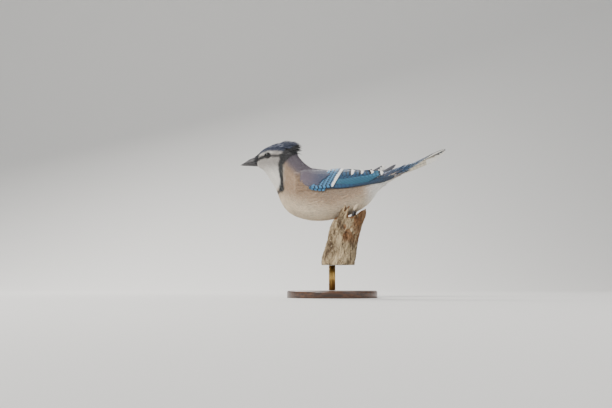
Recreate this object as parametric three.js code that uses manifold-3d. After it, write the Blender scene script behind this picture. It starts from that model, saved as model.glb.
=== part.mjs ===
// A blue jay at rest on the broken end of a branch, life size, carried by a small display stand.
// Millimetres, +Z up. The bird faces -X and its left side faces -Y. The origin is the centre of
// the underside of the stand's base.
import * as THREE from "three";
import { mergeVertices } from "three/addons/utils/BufferGeometryUtils.js";
import Module from "manifold-3d";

const wasm = await Module();
wasm.setup();

// Driving dimensions
const GAP = 0.3; // left between pieces that touch
const WELD = 0.001; // corners closer than this count as one
// How far a joined surface may shift where its triangles are thinned out, in the order tried.
const SLACKS = [0.05, 0.04, 0.06, 0.03, 0.07, 0.02, 0.08, 0.01, 0.1, 0.12];
const YAW = THREE.MathUtils.degToRad(9); // the tail is turned this far towards -Y
const BODY_POWER = 2.15; // squareness of the body's cross-section
const BODY_SIDES = 28;
const NECK_START = 5; // stations where the body is parted
const NECK_END = 8;
const TORSO_END = 17;

const EYE = { x: -88.5, z: 196.5, radius: 4.3, proud: 1.7, lid: 0.75 };
const BILL = { length: 24, rootHeight: 13, rootHalfWidth: 4.9, rootX: -105.4, rootZ: 190, tipZ: 184.6 };
const GAPE_DROP = 2.2; // how far the line of the mouth lies below the middle of the bill at its root

const WING = {
  clear: 1.1, step: 0.28, thickness: 0.6, under: 0.5, rearHalfGap: 9.5, tailBend: 0.42, bendStart: 46,
};
const TAIL = {
  rootX: 77.6, rootZ: 166.5, pitch: THREE.MathUtils.degToRad(21.5), length: 86, pairs: 6,
  roofAtRoot: 0.66, roofAtTip: 0.1, twist: THREE.MathUtils.degToRad(9), step: 0.34, thickness: 0.62,
};
const LEG = { x: 30, left: -19, right: 0, tarsusRadius: 1.65, length: 15 };
const TOE = { radius: 1.45, front: 13, hind: 7, claw: 5, hindClaw: 4 };
const PERCH = {
  bottomX: 8, topX: 28.5, y: -12, bottomZ: 45, floorZ: 106, rimZ: 111,
  radius: 20.5, bottomRadius: 22.5, floorTilt: 0.22, wall: 5.5, sides: 36,
};
const BASE = { radius: 62, height: 10, edge: 2.5, sides: 64 };
const ROD = { radius: 4.5, sides: 32 };

const V = (x, y, z) => new THREE.Vector3(x, y, z);
const clamp = THREE.MathUtils.clamp;
const lerp = THREE.MathUtils.lerp;
const smooth = (x, low, high) => THREE.MathUtils.smoothstep(x, low, high);

// A closed solid from points and triangles, turned so that its faces point outwards.
function solidFrom(points, triangles) {
  const make = (tris) => new wasm.Manifold(new wasm.Mesh({
    numProp: 3,
    vertProperties: new Float32Array(points.flatMap((p) => [p.x, p.y, p.z])),
    triVerts: new Uint32Array(tris.flat()),
  }));
  const made = make(triangles);
  return made.volume() > 0 ? made : make(triangles.map(([a, b, c]) => [a, c, b]));
}

// A solid through a row of rings that have the same number of points, with flat fan ends.
function loft(rings) {
  const count = rings[0].length;
  const points = rings.flat();
  const triangles = [];
  for (let r = 0; r + 1 < rings.length; r++) {
    for (let i = 0; i < count; i++) {
      const j = (i + 1) % count;
      const [a, b, c, d] = [r * count + i, r * count + j, (r + 1) * count + j, (r + 1) * count + i];
      triangles.push([a, b, c], [a, c, d]);
    }
  }
  const end = (ring, start, turned) => {
    const middle = ring.reduce((sum, p) => sum.add(p), V(0, 0, 0)).divideScalar(count);
    points.push(middle);
    for (let i = 0; i < count; i++) {
      const j = (i + 1) % count;
      triangles.push(turned ? [points.length - 1, start + j, start + i]
        : [points.length - 1, start + i, start + j]);
    }
  };
  end(rings[0], 0, true);
  end(rings[rings.length - 1], (rings.length - 1) * count, false);
  return solidFrom(points, triangles);
}

// The solid of a three.js geometry.
function solidOf(geometry) {
  const bare = geometry.clone();
  bare.deleteAttribute("normal");
  bare.deleteAttribute("uv");
  const merged = mergeVertices(bare, 1e-4);
  const place = merged.attributes.position;
  const points = [];
  for (let i = 0; i < place.count; i++) points.push(V(0, 0, 0).fromBufferAttribute(place, i));
  const triangles = [];
  for (let i = 0; i < merged.index.count; i += 3) {
    triangles.push([merged.index.getX(i), merged.index.getX(i + 1), merged.index.getX(i + 2)]);
  }
  return solidFrom(points, triangles);
}

const join = (solids) => solids.reduce((sum, one) => sum.add(one));

// Whether every edge still has two triangles once corners closer than weld are one.
function staysClosed(mesh, weld) {
  const names = new Map();
  const nameOf = (i) => {
    const key = [0, 1, 2].map((k) => Math.round(mesh.vertProperties[3 * i + k] / weld)).join();
    return names.get(key) ?? names.set(key, names.size).get(key);
  };
  const edges = new Map();
  for (let i = 0; i < mesh.triVerts.length; i += 3) {
    const corners = [0, 1, 2].map((k) => nameOf(mesh.triVerts[i + k]));
    if (new Set(corners).size < 3) continue;
    for (let k = 0; k < 3; k++) {
      const edge = [corners[k], corners[(k + 1) % 3]].sort((a, b) => a - b).join();
      edges.set(edge, (edges.get(edge) ?? 0) + 1);
    }
  }
  return [...edges.values()].every((count) => count === 2);
}

// A mesh as a geometry that only has places and triangles.
function bareGeometry(mesh) {
  const geometry = new THREE.BufferGeometry();
  geometry.setAttribute("position", new THREE.BufferAttribute(new Float32Array(mesh.vertProperties), 3));
  geometry.setIndex(new THREE.BufferAttribute(new Uint32Array(mesh.triVerts), 1));
  return geometry;
}

// The closed surfaces of a mesh, largest first, once corners closer than WELD are one.
function surfacesOf(mesh) {
  const welded = mergeVertices(bareGeometry(mesh), WELD);
  return new wasm.Manifold(new wasm.Mesh({
    numProp: 3,
    vertProperties: new Float32Array(welded.attributes.position.array),
    triVerts: new Uint32Array(welded.index.array),
  })).decompose().sort((a, b) => b.volume() - a.volume());
}

// The largest closed surface of a solid, as a geometry, with its thinnest triangles taken up.
function geometryOf(solid) {
  let mesh;
  for (const slack of SLACKS) {
    mesh = solid.simplify(slack).getMesh();
    let surfaces = surfacesOf(mesh);
    for (let round = 0; round < 3; round++) {
      mesh = surfaces[0].getMesh();
      surfaces = surfacesOf(mesh);
    }
    if (surfaces.length === 1 && [WELD, WELD / 10].every((weld) => staysClosed(mesh, weld))) break;
  }
  return bareGeometry(mesh);
}

// A round tapered tube through points, with a radius at each.
function taperedTube(path, radii, sides = 8) {
  const rings = path.map((p, i) => {
    const before = path[Math.max(i - 1, 0)];
    const after = path[Math.min(i + 1, path.length - 1)];
    const along = after.clone().sub(before).normalize();
    const across = V(0, 1, 0).cross(along).normalize();
    const third = along.clone().cross(across);
    return Array.from({ length: sides }, (_, k) => {
      const turn = (2 * Math.PI * k) / sides;
      return p.clone().addScaledVector(across, radii[i] * Math.cos(turn))
        .addScaledVector(third, radii[i] * Math.sin(turn));
    });
  });
  return loft(rings);
}

// The body: cross-sections from the root of the bill to the root of the tail. Each has its
// highest and its lowest point on the middle plane, as x and z, and half its width.
const STATIONS = [
  { top: [-105, 197.5], bottom: [-105, 182.5], half: 5.6 },
  { top: [-100.5, 203], bottom: [-101.5, 180.5], half: 8.6 },
  { top: [-94.5, 207.5], bottom: [-96.5, 178], half: 11.6 },
  { top: [-85, 211.5], bottom: [-90, 170], half: 14.6 },
  { top: [-74, 214], bottom: [-84.5, 161], half: 16.6 },
  { top: [-62, 214], bottom: [-79, 152], half: 17.6 },
  { top: [-53, 209], bottom: [-75, 143], half: 18.4 },
  { top: [-49, 199.5], bottom: [-71.5, 134], half: 19.8 },
  { top: [-43.5, 191], bottom: [-66.5, 125.5], half: 22.2 },
  { top: [-35.5, 183.5], bottom: [-58, 117], half: 25.2 },
  { top: [-26.5, 178], bottom: [-44.5, 110.5], half: 27.8 },
  { top: [-14, 175], bottom: [-28, 107], half: 29.6 },
  { top: [3, 173.5], bottom: [-8.5, 107], half: 30 },
  { top: [21, 172.5], bottom: [14, 111], half: 28.6 },
  { top: [39, 171.5], bottom: [35, 119], half: 25 },
  { top: [54.5, 170.5], bottom: [51, 130], half: 20 },
  { top: [67, 170.5], bottom: [63.5, 146], half: 14.5 },
  { top: [78, 172.5], bottom: [76, 157.5], half: 10.2 },
  { top: [91, 177], bottom: [92, 167.5], half: 7.6 },
];

const curveOf = (pick) => {
  const curve = new THREE.CatmullRomCurve3(STATIONS.map(pick), false, "centripetal");
  return (t) => curve.getPoint(clamp(t / (STATIONS.length - 1), 0, 1));
};
const topAt = curveOf((s) => V(s.top[0], 0, s.top[1]));
const bottomAt = curveOf((s) => V(s.bottom[0], 0, s.bottom[1]));

function halfWidthAt(t) {
  const i = clamp(Math.floor(t), 0, STATIONS.length - 2);
  const at = (k) => STATIONS[clamp(k, 0, STATIONS.length - 1)].half;
  const f = t - i;
  const [a, b, c, d] = [at(i - 1), at(i), at(i + 1), at(i + 2)];
  return b + 0.5 * f * (c - a + f * (2 * a - 5 * b + 4 * c - d + f * (3 * (b - c) + d - a)));
}

// The body's surface at station t and angle turn: 0 is the top line and pi/2 the left flank.
function bodyPoint(t, turn, grow = 0) {
  const [top, bottom] = [topAt(t), bottomAt(t)];
  const middle = top.clone().add(bottom).multiplyScalar(0.5);
  const up = top.clone().sub(bottom);
  const reach = up.length() / 2 + grow;
  up.normalize();
  const power = 2 / BODY_POWER;
  const round = (v) => Math.sign(v) * Math.abs(v) ** power;
  const point = middle.addScaledVector(up, reach * round(Math.cos(turn)));
  point.y = -(halfWidthAt(t) + grow) * round(Math.sin(turn));
  return point;
}

function bodyRing(t, grow = 0) {
  return Array.from({ length: BODY_SIDES }, (_, i) => bodyPoint(t, (2 * Math.PI * i) / BODY_SIDES, grow));
}

// A length of the body from station start to station end, parted from its neighbours by the gap.
function bodyLength(start, end, steps, grow = 0) {
  const span = (t) => topAt(t + 0.05).add(bottomAt(t + 0.05)).sub(topAt(t - 0.05)).sub(bottomAt(t - 0.05))
    .length() / 2 / 0.1;
  const from = start > 0 ? start + (0.75 * GAP) / span(start) : start;
  const to = end < TORSO_END ? end - (0.75 * GAP) / span(end) : end;
  return loft(Array.from({ length: steps + 1 }, (_, i) => bodyRing(lerp(from, to, i / steps), grow)));
}

// How far the flank stands out at a place of the side view.
function flankAt(x, z) {
  let [low, high] = [4, STATIONS.length - 1];
  const past = (t) => {
    const [top, bottom] = [topAt(t), bottomAt(t)];
    return (x - bottom.x) * (top.z - bottom.z) - (z - bottom.z) * (top.x - bottom.x) > 0;
  };
  for (let k = 0; k < 24; k++) {
    const t = (low + high) / 2;
    if (past(t)) low = t;
    else high = t;
  }
  const [top, bottom] = [topAt(low), bottomAt(low)];
  const reach = top.distanceTo(bottom) / 2;
  const middle = top.add(bottom).multiplyScalar(0.5);
  const out = Math.min(Math.hypot(x - middle.x, z - middle.z) / reach, 1);
  return halfWidthAt(low) * (1 - out ** BODY_POWER) ** (1 / BODY_POWER);
}

// A blade laid on a surface. lay(u, v, h) is the surface's point at u, v raised by h. The blade
// runs along centre(s) for s from 0 to 1, half(s) to either side, between low(s, c) and high(s, c),
// where c goes from -1 to 1 across it.
function blade({ lay, centre, half, low, high, stops, columns = 3 }) {
  const across = Array.from({ length: columns }, (_, k) => -1 + (2 * k) / (columns - 1));
  return loft(stops.map((s) => {
    const here = centre(s);
    const along = centre(Math.min(s + 0.01, 1)).sub(centre(Math.max(s - 0.01, 0))).normalize();
    const at = (c, h) => lay(here.x - along.y * half(s) * c, here.y + along.x * half(s) * c, h);
    const upper = across.map((c) => at(c, high(s, c)));
    const lower = across.map((c) => at(c, low(s, c)));
    return [...upper, ...lower.reverse()];
  }));
}

const VANE_STOPS = [0, 0.45, 0.82, 0.95, 1];
const COVERT_STOPS = [0, 0.5, 0.86, 1];
const vaneTaper = (s) => lerp(0.5, 1, smooth(s, 0, 0.35)) * Math.sqrt(1 - (0.96 * smooth(s, 0.7, 1)) ** 2);

// A flight feather or covert between two places of its surface, bowed sideways.
function vane(lay, root, tip, width, height, options) {
  const { bow = 0, thickness, stops = VANE_STOPS, sink = 0, columns = 2 } = options;
  const from = new THREE.Vector2(...root);
  const to = new THREE.Vector2(...tip);
  const side = to.clone().sub(from);
  side.set(-side.y, side.x).normalize();
  const lift = (s) => height - sink * (1 - smooth(s, 0, 0.3));
  const under = Math.min(0.7 * height, WING.under);
  return blade({
    lay,
    centre: (s) => from.clone().lerp(to, s).addScaledVector(side, 4 * bow * s * (1 - s)),
    half: (s) => (width / 2) * vaneTaper(s),
    low: (s) => lift(s) - under,
    high: (s, c) => lift(s) + thickness * (1 - 0.25 * c * c) * lerp(1, 0.7, smooth(s, 0.8, 1)),
    stops,
    columns,
  });
}

// The surface a folded wing lies on, for one side of the bird: -1 left, 1 right. The tip of the
// wing on the right is bent up over the root of the tail.
function wingSurface(side) {
  const bent = (u, v) => (side > 0 ? v + WING.tailBend * Math.max(0, u - WING.bendStart) : v);
  const outAt = (u, v) => {
    const flank = flankAt(u, Math.min(v, 176));
    const least = lerp(1.6, WING.rearHalfGap, smooth(u, 10, 74));
    return 0.5 * (flank + least + Math.hypot(flank - least, 3));
  };
  return (u, v, h) => {
    const e = 3;
    const z = bent(u, v);
    const slopeU = (outAt(u + e, z) - outAt(u - e, z)) / (2 * e);
    const slopeV = (outAt(u, z + e) - outAt(u, z - e)) / (2 * e);
    const normal = V(-slopeU, 1, -slopeV).normalize();
    const raise = WING.clear + h;
    const point = V(u, outAt(u, z), z).addScaledVector(normal, raise);
    return V(point.x, side * Math.max(point.y, 0.6), point.z);
  };
}

// One folded wing: primaries lowest, then secondaries, tertials and two rows of coverts, all
// rooted in the shoulder.
function wing(side) {
  const lay = wingSurface(side);
  const shoulder = blade({
    lay,
    centre: (s) => new THREE.Vector2(lerp(-39, 20, s), lerp(165, 161.5, s) - 5 * Math.sin(Math.PI * s)),
    half: (s) => lerp(3, 12.5, Math.sqrt(Math.sin(Math.PI * clamp(0.06 + 0.72 * s, 0, 1)))),
    low: () => 0,
    high: (s, c) => 0.5 + (4.6 - 2.6 * c * c) * Math.sin(Math.PI * clamp(0.04 + 0.86 * s, 0, 1)) ** 0.6,
    stops: [0, 0.12, 0.28, 0.46, 0.64, 0.82, 1],
    columns: 7,
  });
  const feathers = [];
  const add = (root, tip, width, height, options = {}) => {
    feathers.push(vane(lay, root, tip, width, height, { thickness: WING.thickness, ...options }));
  };
  const primaries = 5;
  for (let i = 0; i < primaries; i++) {
    const f = i / (primaries - 1);
    add([lerp(-6, 0, f), lerp(149.5, 153.5, f)], [lerp(88, 40, f), lerp(166, 158.2, f)],
      lerp(8, 10, f), WING.step * i, { bow: lerp(-2.6, -1.6, f) });
  }
  const secondaries = 5;
  for (let i = 0; i < secondaries; i++) {
    const f = i / (secondaries - 1);
    add([lerp(0, 3, f), lerp(155, 162, f)], [lerp(58, 73, f), lerp(162.5, 170, f)],
      lerp(9, 9.5, f), WING.step * (primaries + i), { bow: -1 });
  }
  const tertials = [
    [[4, 162.5], [60, 171], 10], [[3, 164.5], [46, 170.5], 10.5], [[2, 166], [33, 169.5], 10.5],
  ];
  tertials.forEach(([root, tip, width], i) => {
    add(root, tip, width, WING.step * (primaries + secondaries + i));
  });
  const coverts = 6;
  for (let i = 0; i < coverts; i++) {
    const f = i / (coverts - 1);
    add([lerp(-14, -2, f), lerp(150.5, 168, f)], [lerp(7.5, 17.5, f), lerp(153.5, 171, f)],
      lerp(8.5, 9.5, f), 3.3 + 0.16 * i, { stops: COVERT_STOPS });
  }
  const wrist = 4;
  for (let i = 0; i < wrist; i++) {
    const f = i / (wrist - 1);
    add([lerp(-26, -22, f), lerp(150.5, 158, f)], [lerp(-4, 1, f), lerp(147.5, 153, f)],
      7.5, 2.4 + 0.3 * i, { stops: COVERT_STOPS });
  }
  return join([shoulder, ...feathers]);
}

// The surface of the folded tail: d along it from its root, w across it, h above it. It is a
// roof that flattens towards the tip, where the whole tail is twisted a little.
function tailSurface(d, w, h) {
  const f = clamp(d / TAIL.length, 0, 1);
  const roof = lerp(TAIL.roofAtRoot, TAIL.roofAtTip, smooth(f, 0.1, 0.95));
  const fall = (Math.hypot(w, 2.5) - 2.5) * Math.sin(roof);
  const [y, up] = [w * Math.cos(roof), h - fall];
  const roll = TAIL.twist * smooth(f, 0.15, 0.9);
  const across = y * Math.cos(roll) + up * Math.sin(roll);
  const rise = up * Math.cos(roll) - y * Math.sin(roll);
  return V(TAIL.rootX + d * Math.cos(TAIL.pitch) - rise * Math.sin(TAIL.pitch), across,
    TAIL.rootZ + d * Math.sin(TAIL.pitch) + rise * Math.cos(TAIL.pitch));
}

// The tail: six pairs of feathers, the middle pair on top, rooted in a sleeve of coverts.
function tail() {
  const sleeve = loft([0, 0.35, 0.7, 1].map((f) => bodyRing(lerp(TORSO_END, STATIONS.length - 1, f)))
    .map((ring, i) => (i === 0 ? ring.map((p) => p.clone().add(V(GAP * 1.2, 0, 0))) : ring)));
  const feathers = [];
  for (let i = 0; i < TAIL.pairs; i++) {
    for (const side of [-1, 1]) {
      const reach = TAIL.length - [0, 1, 2.5, 5, 8.5, 13][i];
      const height = 4.6 - TAIL.step * (2 * i + (side > 0 ? 1 : 0)) * 0.62;
      feathers.push(vane(tailSurface, [3, side * (0.6 + 0.62 * i)], [reach, side * (1.8 + 2.25 * i)], 14.5,
        height, { thickness: TAIL.thickness, sink: 2.2, columns: 3 }));
    }
  }
  return join([sleeve, ...feathers]);
}

const eyeCentre = (side) => {
  const out = flankOfHead(EYE.x, EYE.z) - EYE.radius + EYE.proud;
  return V(EYE.x, side * out, EYE.z);
};

// The flank of the head, found as flankAt finds it, from the first stations.
function flankOfHead(x, z) {
  let best = { away: Infinity, out: 0 };
  for (let t = 0.5; t < 6; t += 0.05) {
    for (let turn = 0.6; turn < 2.4; turn += 0.05) {
      const p = bodyPoint(t, turn);
      const away = Math.hypot(p.x - x, p.z - z);
      if (away < best.away) best = { away, out: -p.y };
    }
  }
  return best.out;
}

const ball = (centre, radius, across = 16, down = 10) => solidOf(
  new THREE.SphereGeometry(radius, across, down).translate(centre.x, centre.y, centre.z));

// The rim of the lids, a ring on the head that faces outwards.
function lids(side) {
  const centre = eyeCentre(side);
  const ring = new THREE.TorusGeometry(EYE.radius * 0.93, EYE.lid, 6, 18);
  ring.rotateX(Math.PI / 2);
  return solidOf(ring.translate(centre.x, centre.y + side * EYE.radius * 0.32, centre.z));
}

// One feather of the crest, from a root on the crown to a tip behind the head.
function crestFeather(start, turn, length, width, rise) {
  const stops = [0, 0.4, 0.78, 1];
  const rings = stops.map((s) => {
    const t = start + (length * s) / 9.2;
    const skin = bodyPoint(Math.min(t, 6.2), turn * (1 - 0.25 * s));
    const inner = bodyPoint(Math.min(t, 6.2), turn * (1 - 0.25 * s), -4);
    const normal = skin.clone().sub(inner).normalize();
    const lift = lerp(-1.2, rise, s ** 1.6);
    const place = skin.addScaledVector(normal, lift);
    place.x += 1.6 * rise * s * s;
    const half = (width / 2) * [0.6, 1, 0.75, 0.16][stops.indexOf(s)];
    const across = V(0, 1, 0).addScaledVector(normal, -normal.y).normalize();
    return [[-1, 0.3], [0, 0.55], [1, 0.3], [0, -0.3]].map(([c, h]) => place.clone()
      .addScaledVector(across, c * half).addScaledVector(normal, h));
  });
  return loft(rings);
}

function crest() {
  const rows = [
    { start: 2.6, length: 21, rise: 1.6, turns: [-0.45, -0.15, 0.15, 0.45] },
    { start: 3.3, length: 24, rise: 3.6, turns: [-0.6, -0.3, 0, 0.3, 0.6] },
    { start: 4.1, length: 23, rise: 6.4, turns: [-0.42, -0.14, 0.14, 0.42] },
  ];
  return rows.flatMap(({ start, length, rise, turns }) => turns.map((turn) => crestFeather(start, turn,
    length * (1 - 0.25 * Math.abs(turn)), 7.2, rise * (1 - 0.5 * Math.abs(turn)))));
}

function head() {
  let solid = join([bodyLength(0, NECK_START, 14), ...crest(), lids(-1), lids(1)])
    .subtract(bodyLength(NECK_START, NECK_END, 8, GAP));
  for (const side of [-1, 1]) solid = solid.subtract(ball(eyeCentre(side), EYE.radius + GAP));
  return solid;
}

// Half of the bill: the upper one bears the nostrils, the lower one is shallower and shorter.
function billHalf(upper) {
  const reach = upper ? BILL.length : BILL.length - 1.6;
  const stops = [0, 0.25, 0.5, 0.75, 0.92, 1];
  const tipX = BILL.rootX - reach;
  const rings = stops.map((s) => {
    const x = lerp(BILL.rootX, tipX, s);
    const taper = 1 - s ** 1.25 * 0.94;
    const bulge = Math.sin(Math.PI * s);
    const mouth = lerp(BILL.rootZ - GAPE_DROP, BILL.tipZ - (upper ? 0.2 : 0.1), s) + 0.5 * bulge;
    const depth = (upper ? 0.64 : 0.36) * BILL.rootHeight * taper * (upper ? 1 + 0.22 * bulge : 1);
    const half = BILL.rootHalfWidth * (1 - s ** 1.1 * 0.9);
    const sign = upper ? 1 : -1;
    const edge = mouth + (sign * GAP) / 2;
    const turns = [0, 0.17, 0.36, 0.5, 0.64, 0.83, 1];
    return turns.map((k) => {
      const angle = Math.PI * k;
      return V(x, -half * Math.cos(angle), edge + sign * depth * Math.sin(angle) ** 0.8);
    });
  });
  return loft(rings);
}

function billUpper() {
  let solid = billHalf(true);
  for (const side of [-1, 1]) {
    const nostril = solidOf(new THREE.SphereGeometry(1.1, 10, 8).scale(1.5, 0.9, 0.8)
      .translate(BILL.rootX - 3.4, side * 4.6, BILL.rootZ + 1.6));
    solid = solid.subtract(nostril);
  }
  return solid;
}

// The place where a foot stands, on the tilted floor of the perch's hollow.
const footPlace = (y) => V(LEG.x, y, PERCH.floorZ + PERCH.floorTilt * (LEG.x - PERCH.topX + 4) + GAP);

function foot(y, grow = 0) {
  const place = footPlace(y).add(V(0, 0, TOE.radius));
  const slope = V(1, 0, PERCH.floorTilt).normalize();
  const toes = [[Math.PI, TOE.front], [Math.PI - 0.42, TOE.front * 0.86], [Math.PI + 0.42, TOE.front * 0.9],
    [0, TOE.hind]];
  return join(toes.map(([turn, length]) => {
    const claw = turn ? TOE.claw : TOE.hindClaw;
    const along = slope.clone().multiplyScalar(Math.cos(turn)).add(V(0, Math.sin(turn), 0)).normalize();
    const at = (d, h) => place.clone().addScaledVector(along, d).add(V(0, 0, h));
    const path = [at(-1.5, 0), at(length * 0.35, 0.35), at(length * 0.7, 0), at(length, 0.2),
      at(length + claw * 0.45, 0.9), at(length + claw * 0.8, -0.2), at(length + claw + grow, -1.3)];
    const radii = [1.5, 1.4, 1.25, 1.15, 0.8, 0.5, 0.15];
    return taperedTube(path, radii.map((r) => (r * TOE.radius) / 1.5 + grow), 6);
  }));
}

function leg(y) {
  const low = footPlace(y).add(V(0.4, 0, 2 * TOE.radius + GAP + 0.9));
  const high = low.clone().add(V(4.2, 0, LEG.length));
  const path = [0, 0.25, 0.6, 1].map((f) => low.clone().lerp(high, f));
  const radii = [1, 0.95, 1, 1.5].map((r) => r * LEG.tarsusRadius);
  return taperedTube(path, radii, 12);
}

// The broken branch end: a leaning tapered stub with a hollow crown of uneven height.
function perch() {
  const turnAt = (i) => (2 * Math.PI * i) / PERCH.sides;
  const spike = (turn, at, wide) => {
    const away = ((turn - at + 3 * Math.PI) % (2 * Math.PI)) - Math.PI;
    return Math.exp(-((away / wide) ** 2));
  };
  const rough = (turn, k) => 0.7 * Math.sin(3 * turn + k) + 0.5 * Math.sin(7 * turn + 2 * k);
  const rimAt = (turn) => PERCH.rimZ + 15 * spike(turn, -2.35, 0.17) + 12.5 * spike(turn, -1.98, 0.12)
    + 9 * spike(turn, -0.55, 0.5) + 1.2 * Math.sin(5 * turn) - 4 * spike(turn, 2.6, 0.9);
  const middleAt = (z) => {
    const f = (z - PERCH.bottomZ) / (PERCH.rimZ - PERCH.bottomZ);
    return V(lerp(PERCH.bottomX, PERCH.topX - 4, f * (0.4 + 0.6 * f)), PERCH.y, z);
  };
  const ring = (radius, heightAt, k) => Array.from({ length: PERCH.sides }, (_, i) => {
    const turn = turnAt(i);
    const z = heightAt(turn);
    const r = radius + rough(turn, k);
    return middleAt(z).add(V(r * Math.cos(turn), r * Math.sin(turn), 0));
  });
  const rings = [
    ring(PERCH.bottomRadius - 0.6, () => PERCH.bottomZ, 0),
    ring(PERCH.bottomRadius, () => PERCH.bottomZ + 6, 0.6),
    ring(lerp(PERCH.bottomRadius, PERCH.radius, 0.4), () => PERCH.bottomZ + 24, 1.2),
    ring(lerp(PERCH.bottomRadius, PERCH.radius, 0.8), () => PERCH.bottomZ + 42, 1.7),
    ring(PERCH.radius, () => PERCH.bottomZ + 56, 2),
    ring(PERCH.radius, (turn) => rimAt(turn) - 2.5, 2.1),
    ring(PERCH.radius - 1.6, rimAt, 2.1),
    ring(PERCH.radius - PERCH.wall + 1.5, (turn) => rimAt(turn) - 2, 2.2),
    ring(PERCH.radius - PERCH.wall, (turn) => PERCH.floorZ + PERCH.floorTilt * (PERCH.radius - PERCH.wall)
      * Math.cos(turn), 2.3),
  ];
  const solid = loft(rings);
  const held = [bodyLength(7, TORSO_END, 20, 3 * GAP), foot(LEG.left, GAP), foot(LEG.right, GAP)];
  return held.reduce((sum, one) => sum.subtract(one.rotate([0, 0, -THREE.MathUtils.radToDeg(YAW)])), solid);
}

function base() {
  const { radius, height, edge } = BASE;
  const profile = [[0, 0], [radius - 0.6, 0], [radius, 0.6], [radius, height - edge], [radius - edge, height],
    [0, height]].map(([x, y]) => new THREE.Vector2(x, y));
  return new THREE.LatheGeometry(profile, BASE.sides).rotateX(Math.PI / 2);
}

function rod() {
  const [low, high] = [BASE.height + GAP, PERCH.bottomZ - GAP];
  return new THREE.CylinderGeometry(ROD.radius, ROD.radius, high - low, ROD.sides).rotateX(Math.PI / 2)
    .translate(0, 0, (low + high) / 2);
}

const finish = (color, roughness, metalness = 0) => (
  new THREE.MeshStandardMaterial({ color, roughness, metalness })
);
const FINISHES = {
  crown: finish(0x5d6b85, 0.85),
  mantle: finish(0x8b8a99, 0.85),
  breast: finish(0xb7aea2, 0.9),
  blue: finish(0x2f6f9e, 0.55),
  horn: finish(0x26262a, 0.35),
  eye: finish(0x0d0a09, 0.08),
  bark: finish(0x8a7458, 0.95),
  brass: finish(0xa8893f, 0.35, 1),
  wood: finish(0x3a2a20, 0.45),
};

const part = new THREE.Group();

function piece(name, geometry, material) {
  const mesh = new THREE.Mesh(geometry, material);
  mesh.name = name;
  part.add(mesh);
}

// A piece of the bird, turned with it on the perch.
function birdPiece(name, solid, material) {
  piece(name, geometryOf(solid.rotate([0, 0, -THREE.MathUtils.radToDeg(YAW)])), material);
}

birdPiece("head", head(), FINISHES.crown);
birdPiece("neck", bodyLength(NECK_START, NECK_END, 8), FINISHES.mantle);
birdPiece("torso", bodyLength(NECK_END, TORSO_END, 20), FINISHES.breast);
birdPiece("bill_upper", billUpper(), FINISHES.horn);
birdPiece("bill_lower", billHalf(false), FINISHES.horn);
birdPiece("tail", tail(), FINISHES.blue);
const clearOfBody = bodyLength(7, TORSO_END, 26, GAP);
for (const [name, side, y] of [["left", -1, LEG.left], ["right", 1, LEG.right]]) {
  birdPiece(`eye_${name}`, ball(eyeCentre(side), EYE.radius), FINISHES.eye);
  birdPiece(`wing_${name}`, wing(side).subtract(clearOfBody), FINISHES.blue);
  birdPiece(`leg_${name}`, leg(y).subtract(clearOfBody), FINISHES.horn);
  birdPiece(`foot_${name}`, foot(y), FINISHES.horn);
}
piece("perch", geometryOf(perch()), FINISHES.bark);
piece("stand_rod", rod(), FINISHES.brass);
piece("stand_base", base(), FINISHES.wood);

export default part;
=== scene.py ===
"""A blue jay at rest on a broken branch end: plumage, bill, eyes, feet, branch and stand.

Sizes are millimetres until a mesh is made. The bird is worked out in its own frame, facing -X
with its left side towards -Y, and is then turned on the perch by its yaw.
"""

from __future__ import annotations

import logging
import math
from dataclasses import dataclass
from enum import Enum
from typing import Any, Callable, Sequence

import bpy
import numpy as np
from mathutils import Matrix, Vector

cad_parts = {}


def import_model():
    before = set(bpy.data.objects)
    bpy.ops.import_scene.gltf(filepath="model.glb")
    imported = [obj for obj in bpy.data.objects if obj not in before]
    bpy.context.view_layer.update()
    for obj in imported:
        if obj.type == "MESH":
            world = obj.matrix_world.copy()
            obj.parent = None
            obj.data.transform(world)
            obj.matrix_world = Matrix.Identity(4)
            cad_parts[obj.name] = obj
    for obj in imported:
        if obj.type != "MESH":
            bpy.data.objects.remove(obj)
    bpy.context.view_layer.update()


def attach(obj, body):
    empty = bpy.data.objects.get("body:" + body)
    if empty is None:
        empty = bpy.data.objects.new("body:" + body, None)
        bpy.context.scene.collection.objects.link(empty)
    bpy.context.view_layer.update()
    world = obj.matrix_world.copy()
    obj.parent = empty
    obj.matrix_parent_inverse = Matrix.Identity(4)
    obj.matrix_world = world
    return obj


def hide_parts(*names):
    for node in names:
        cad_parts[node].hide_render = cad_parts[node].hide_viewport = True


log = logging.getLogger("blue_jay")

MM = 0.001
YAW = math.radians(9.0)
PATCH = 0.003  # width of a small feather's patch on the bake map
EYE_X, EYE_Z = -88.5, 196.5
LEG_X = 30.0
BRANCH_Y = -12.0
FLOOR_X, FLOOR_Z = 24.5, 106.0  # middle of the hollow's floor in the branch's broken end
FLOOR_SLOPE = 0.22  # how fast that floor rises to the rear
Array = np.ndarray
Colour = tuple[float, float, float]


class Side(Enum):
    """Which side of the bird a piece is on, by the sign of its Y."""

    LEFT = -1
    RIGHT = 1


LEG_Y = {Side.LEFT: -19.0, Side.RIGHT: 0.0}  # where each leg stands across the bird's own frame


def linear(red: int, green: int, blue: int) -> Colour:
    """Returns the linear colour of a screen colour from 0 to 255."""
    return tuple(((c / 255 + 0.055) / 1.055) ** 2.4 if c > 10 else c / 3295 for c in (red, green, blue))


def smooth(value: Array | float, low: float, high: float) -> Array | float:
    """Returns 0 below low, 1 above high and a smooth step between."""
    step = np.clip((value - low) / (high - low), 0.0, 1.0)
    return step * step * (3 - 2 * step)


def blend(first: Array, second: Array | Colour, share: Array) -> Array:
    """Returns rows of colour mixed by share."""
    return first + (np.asarray(second) - first) * np.asarray(share)[..., None]


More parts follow.
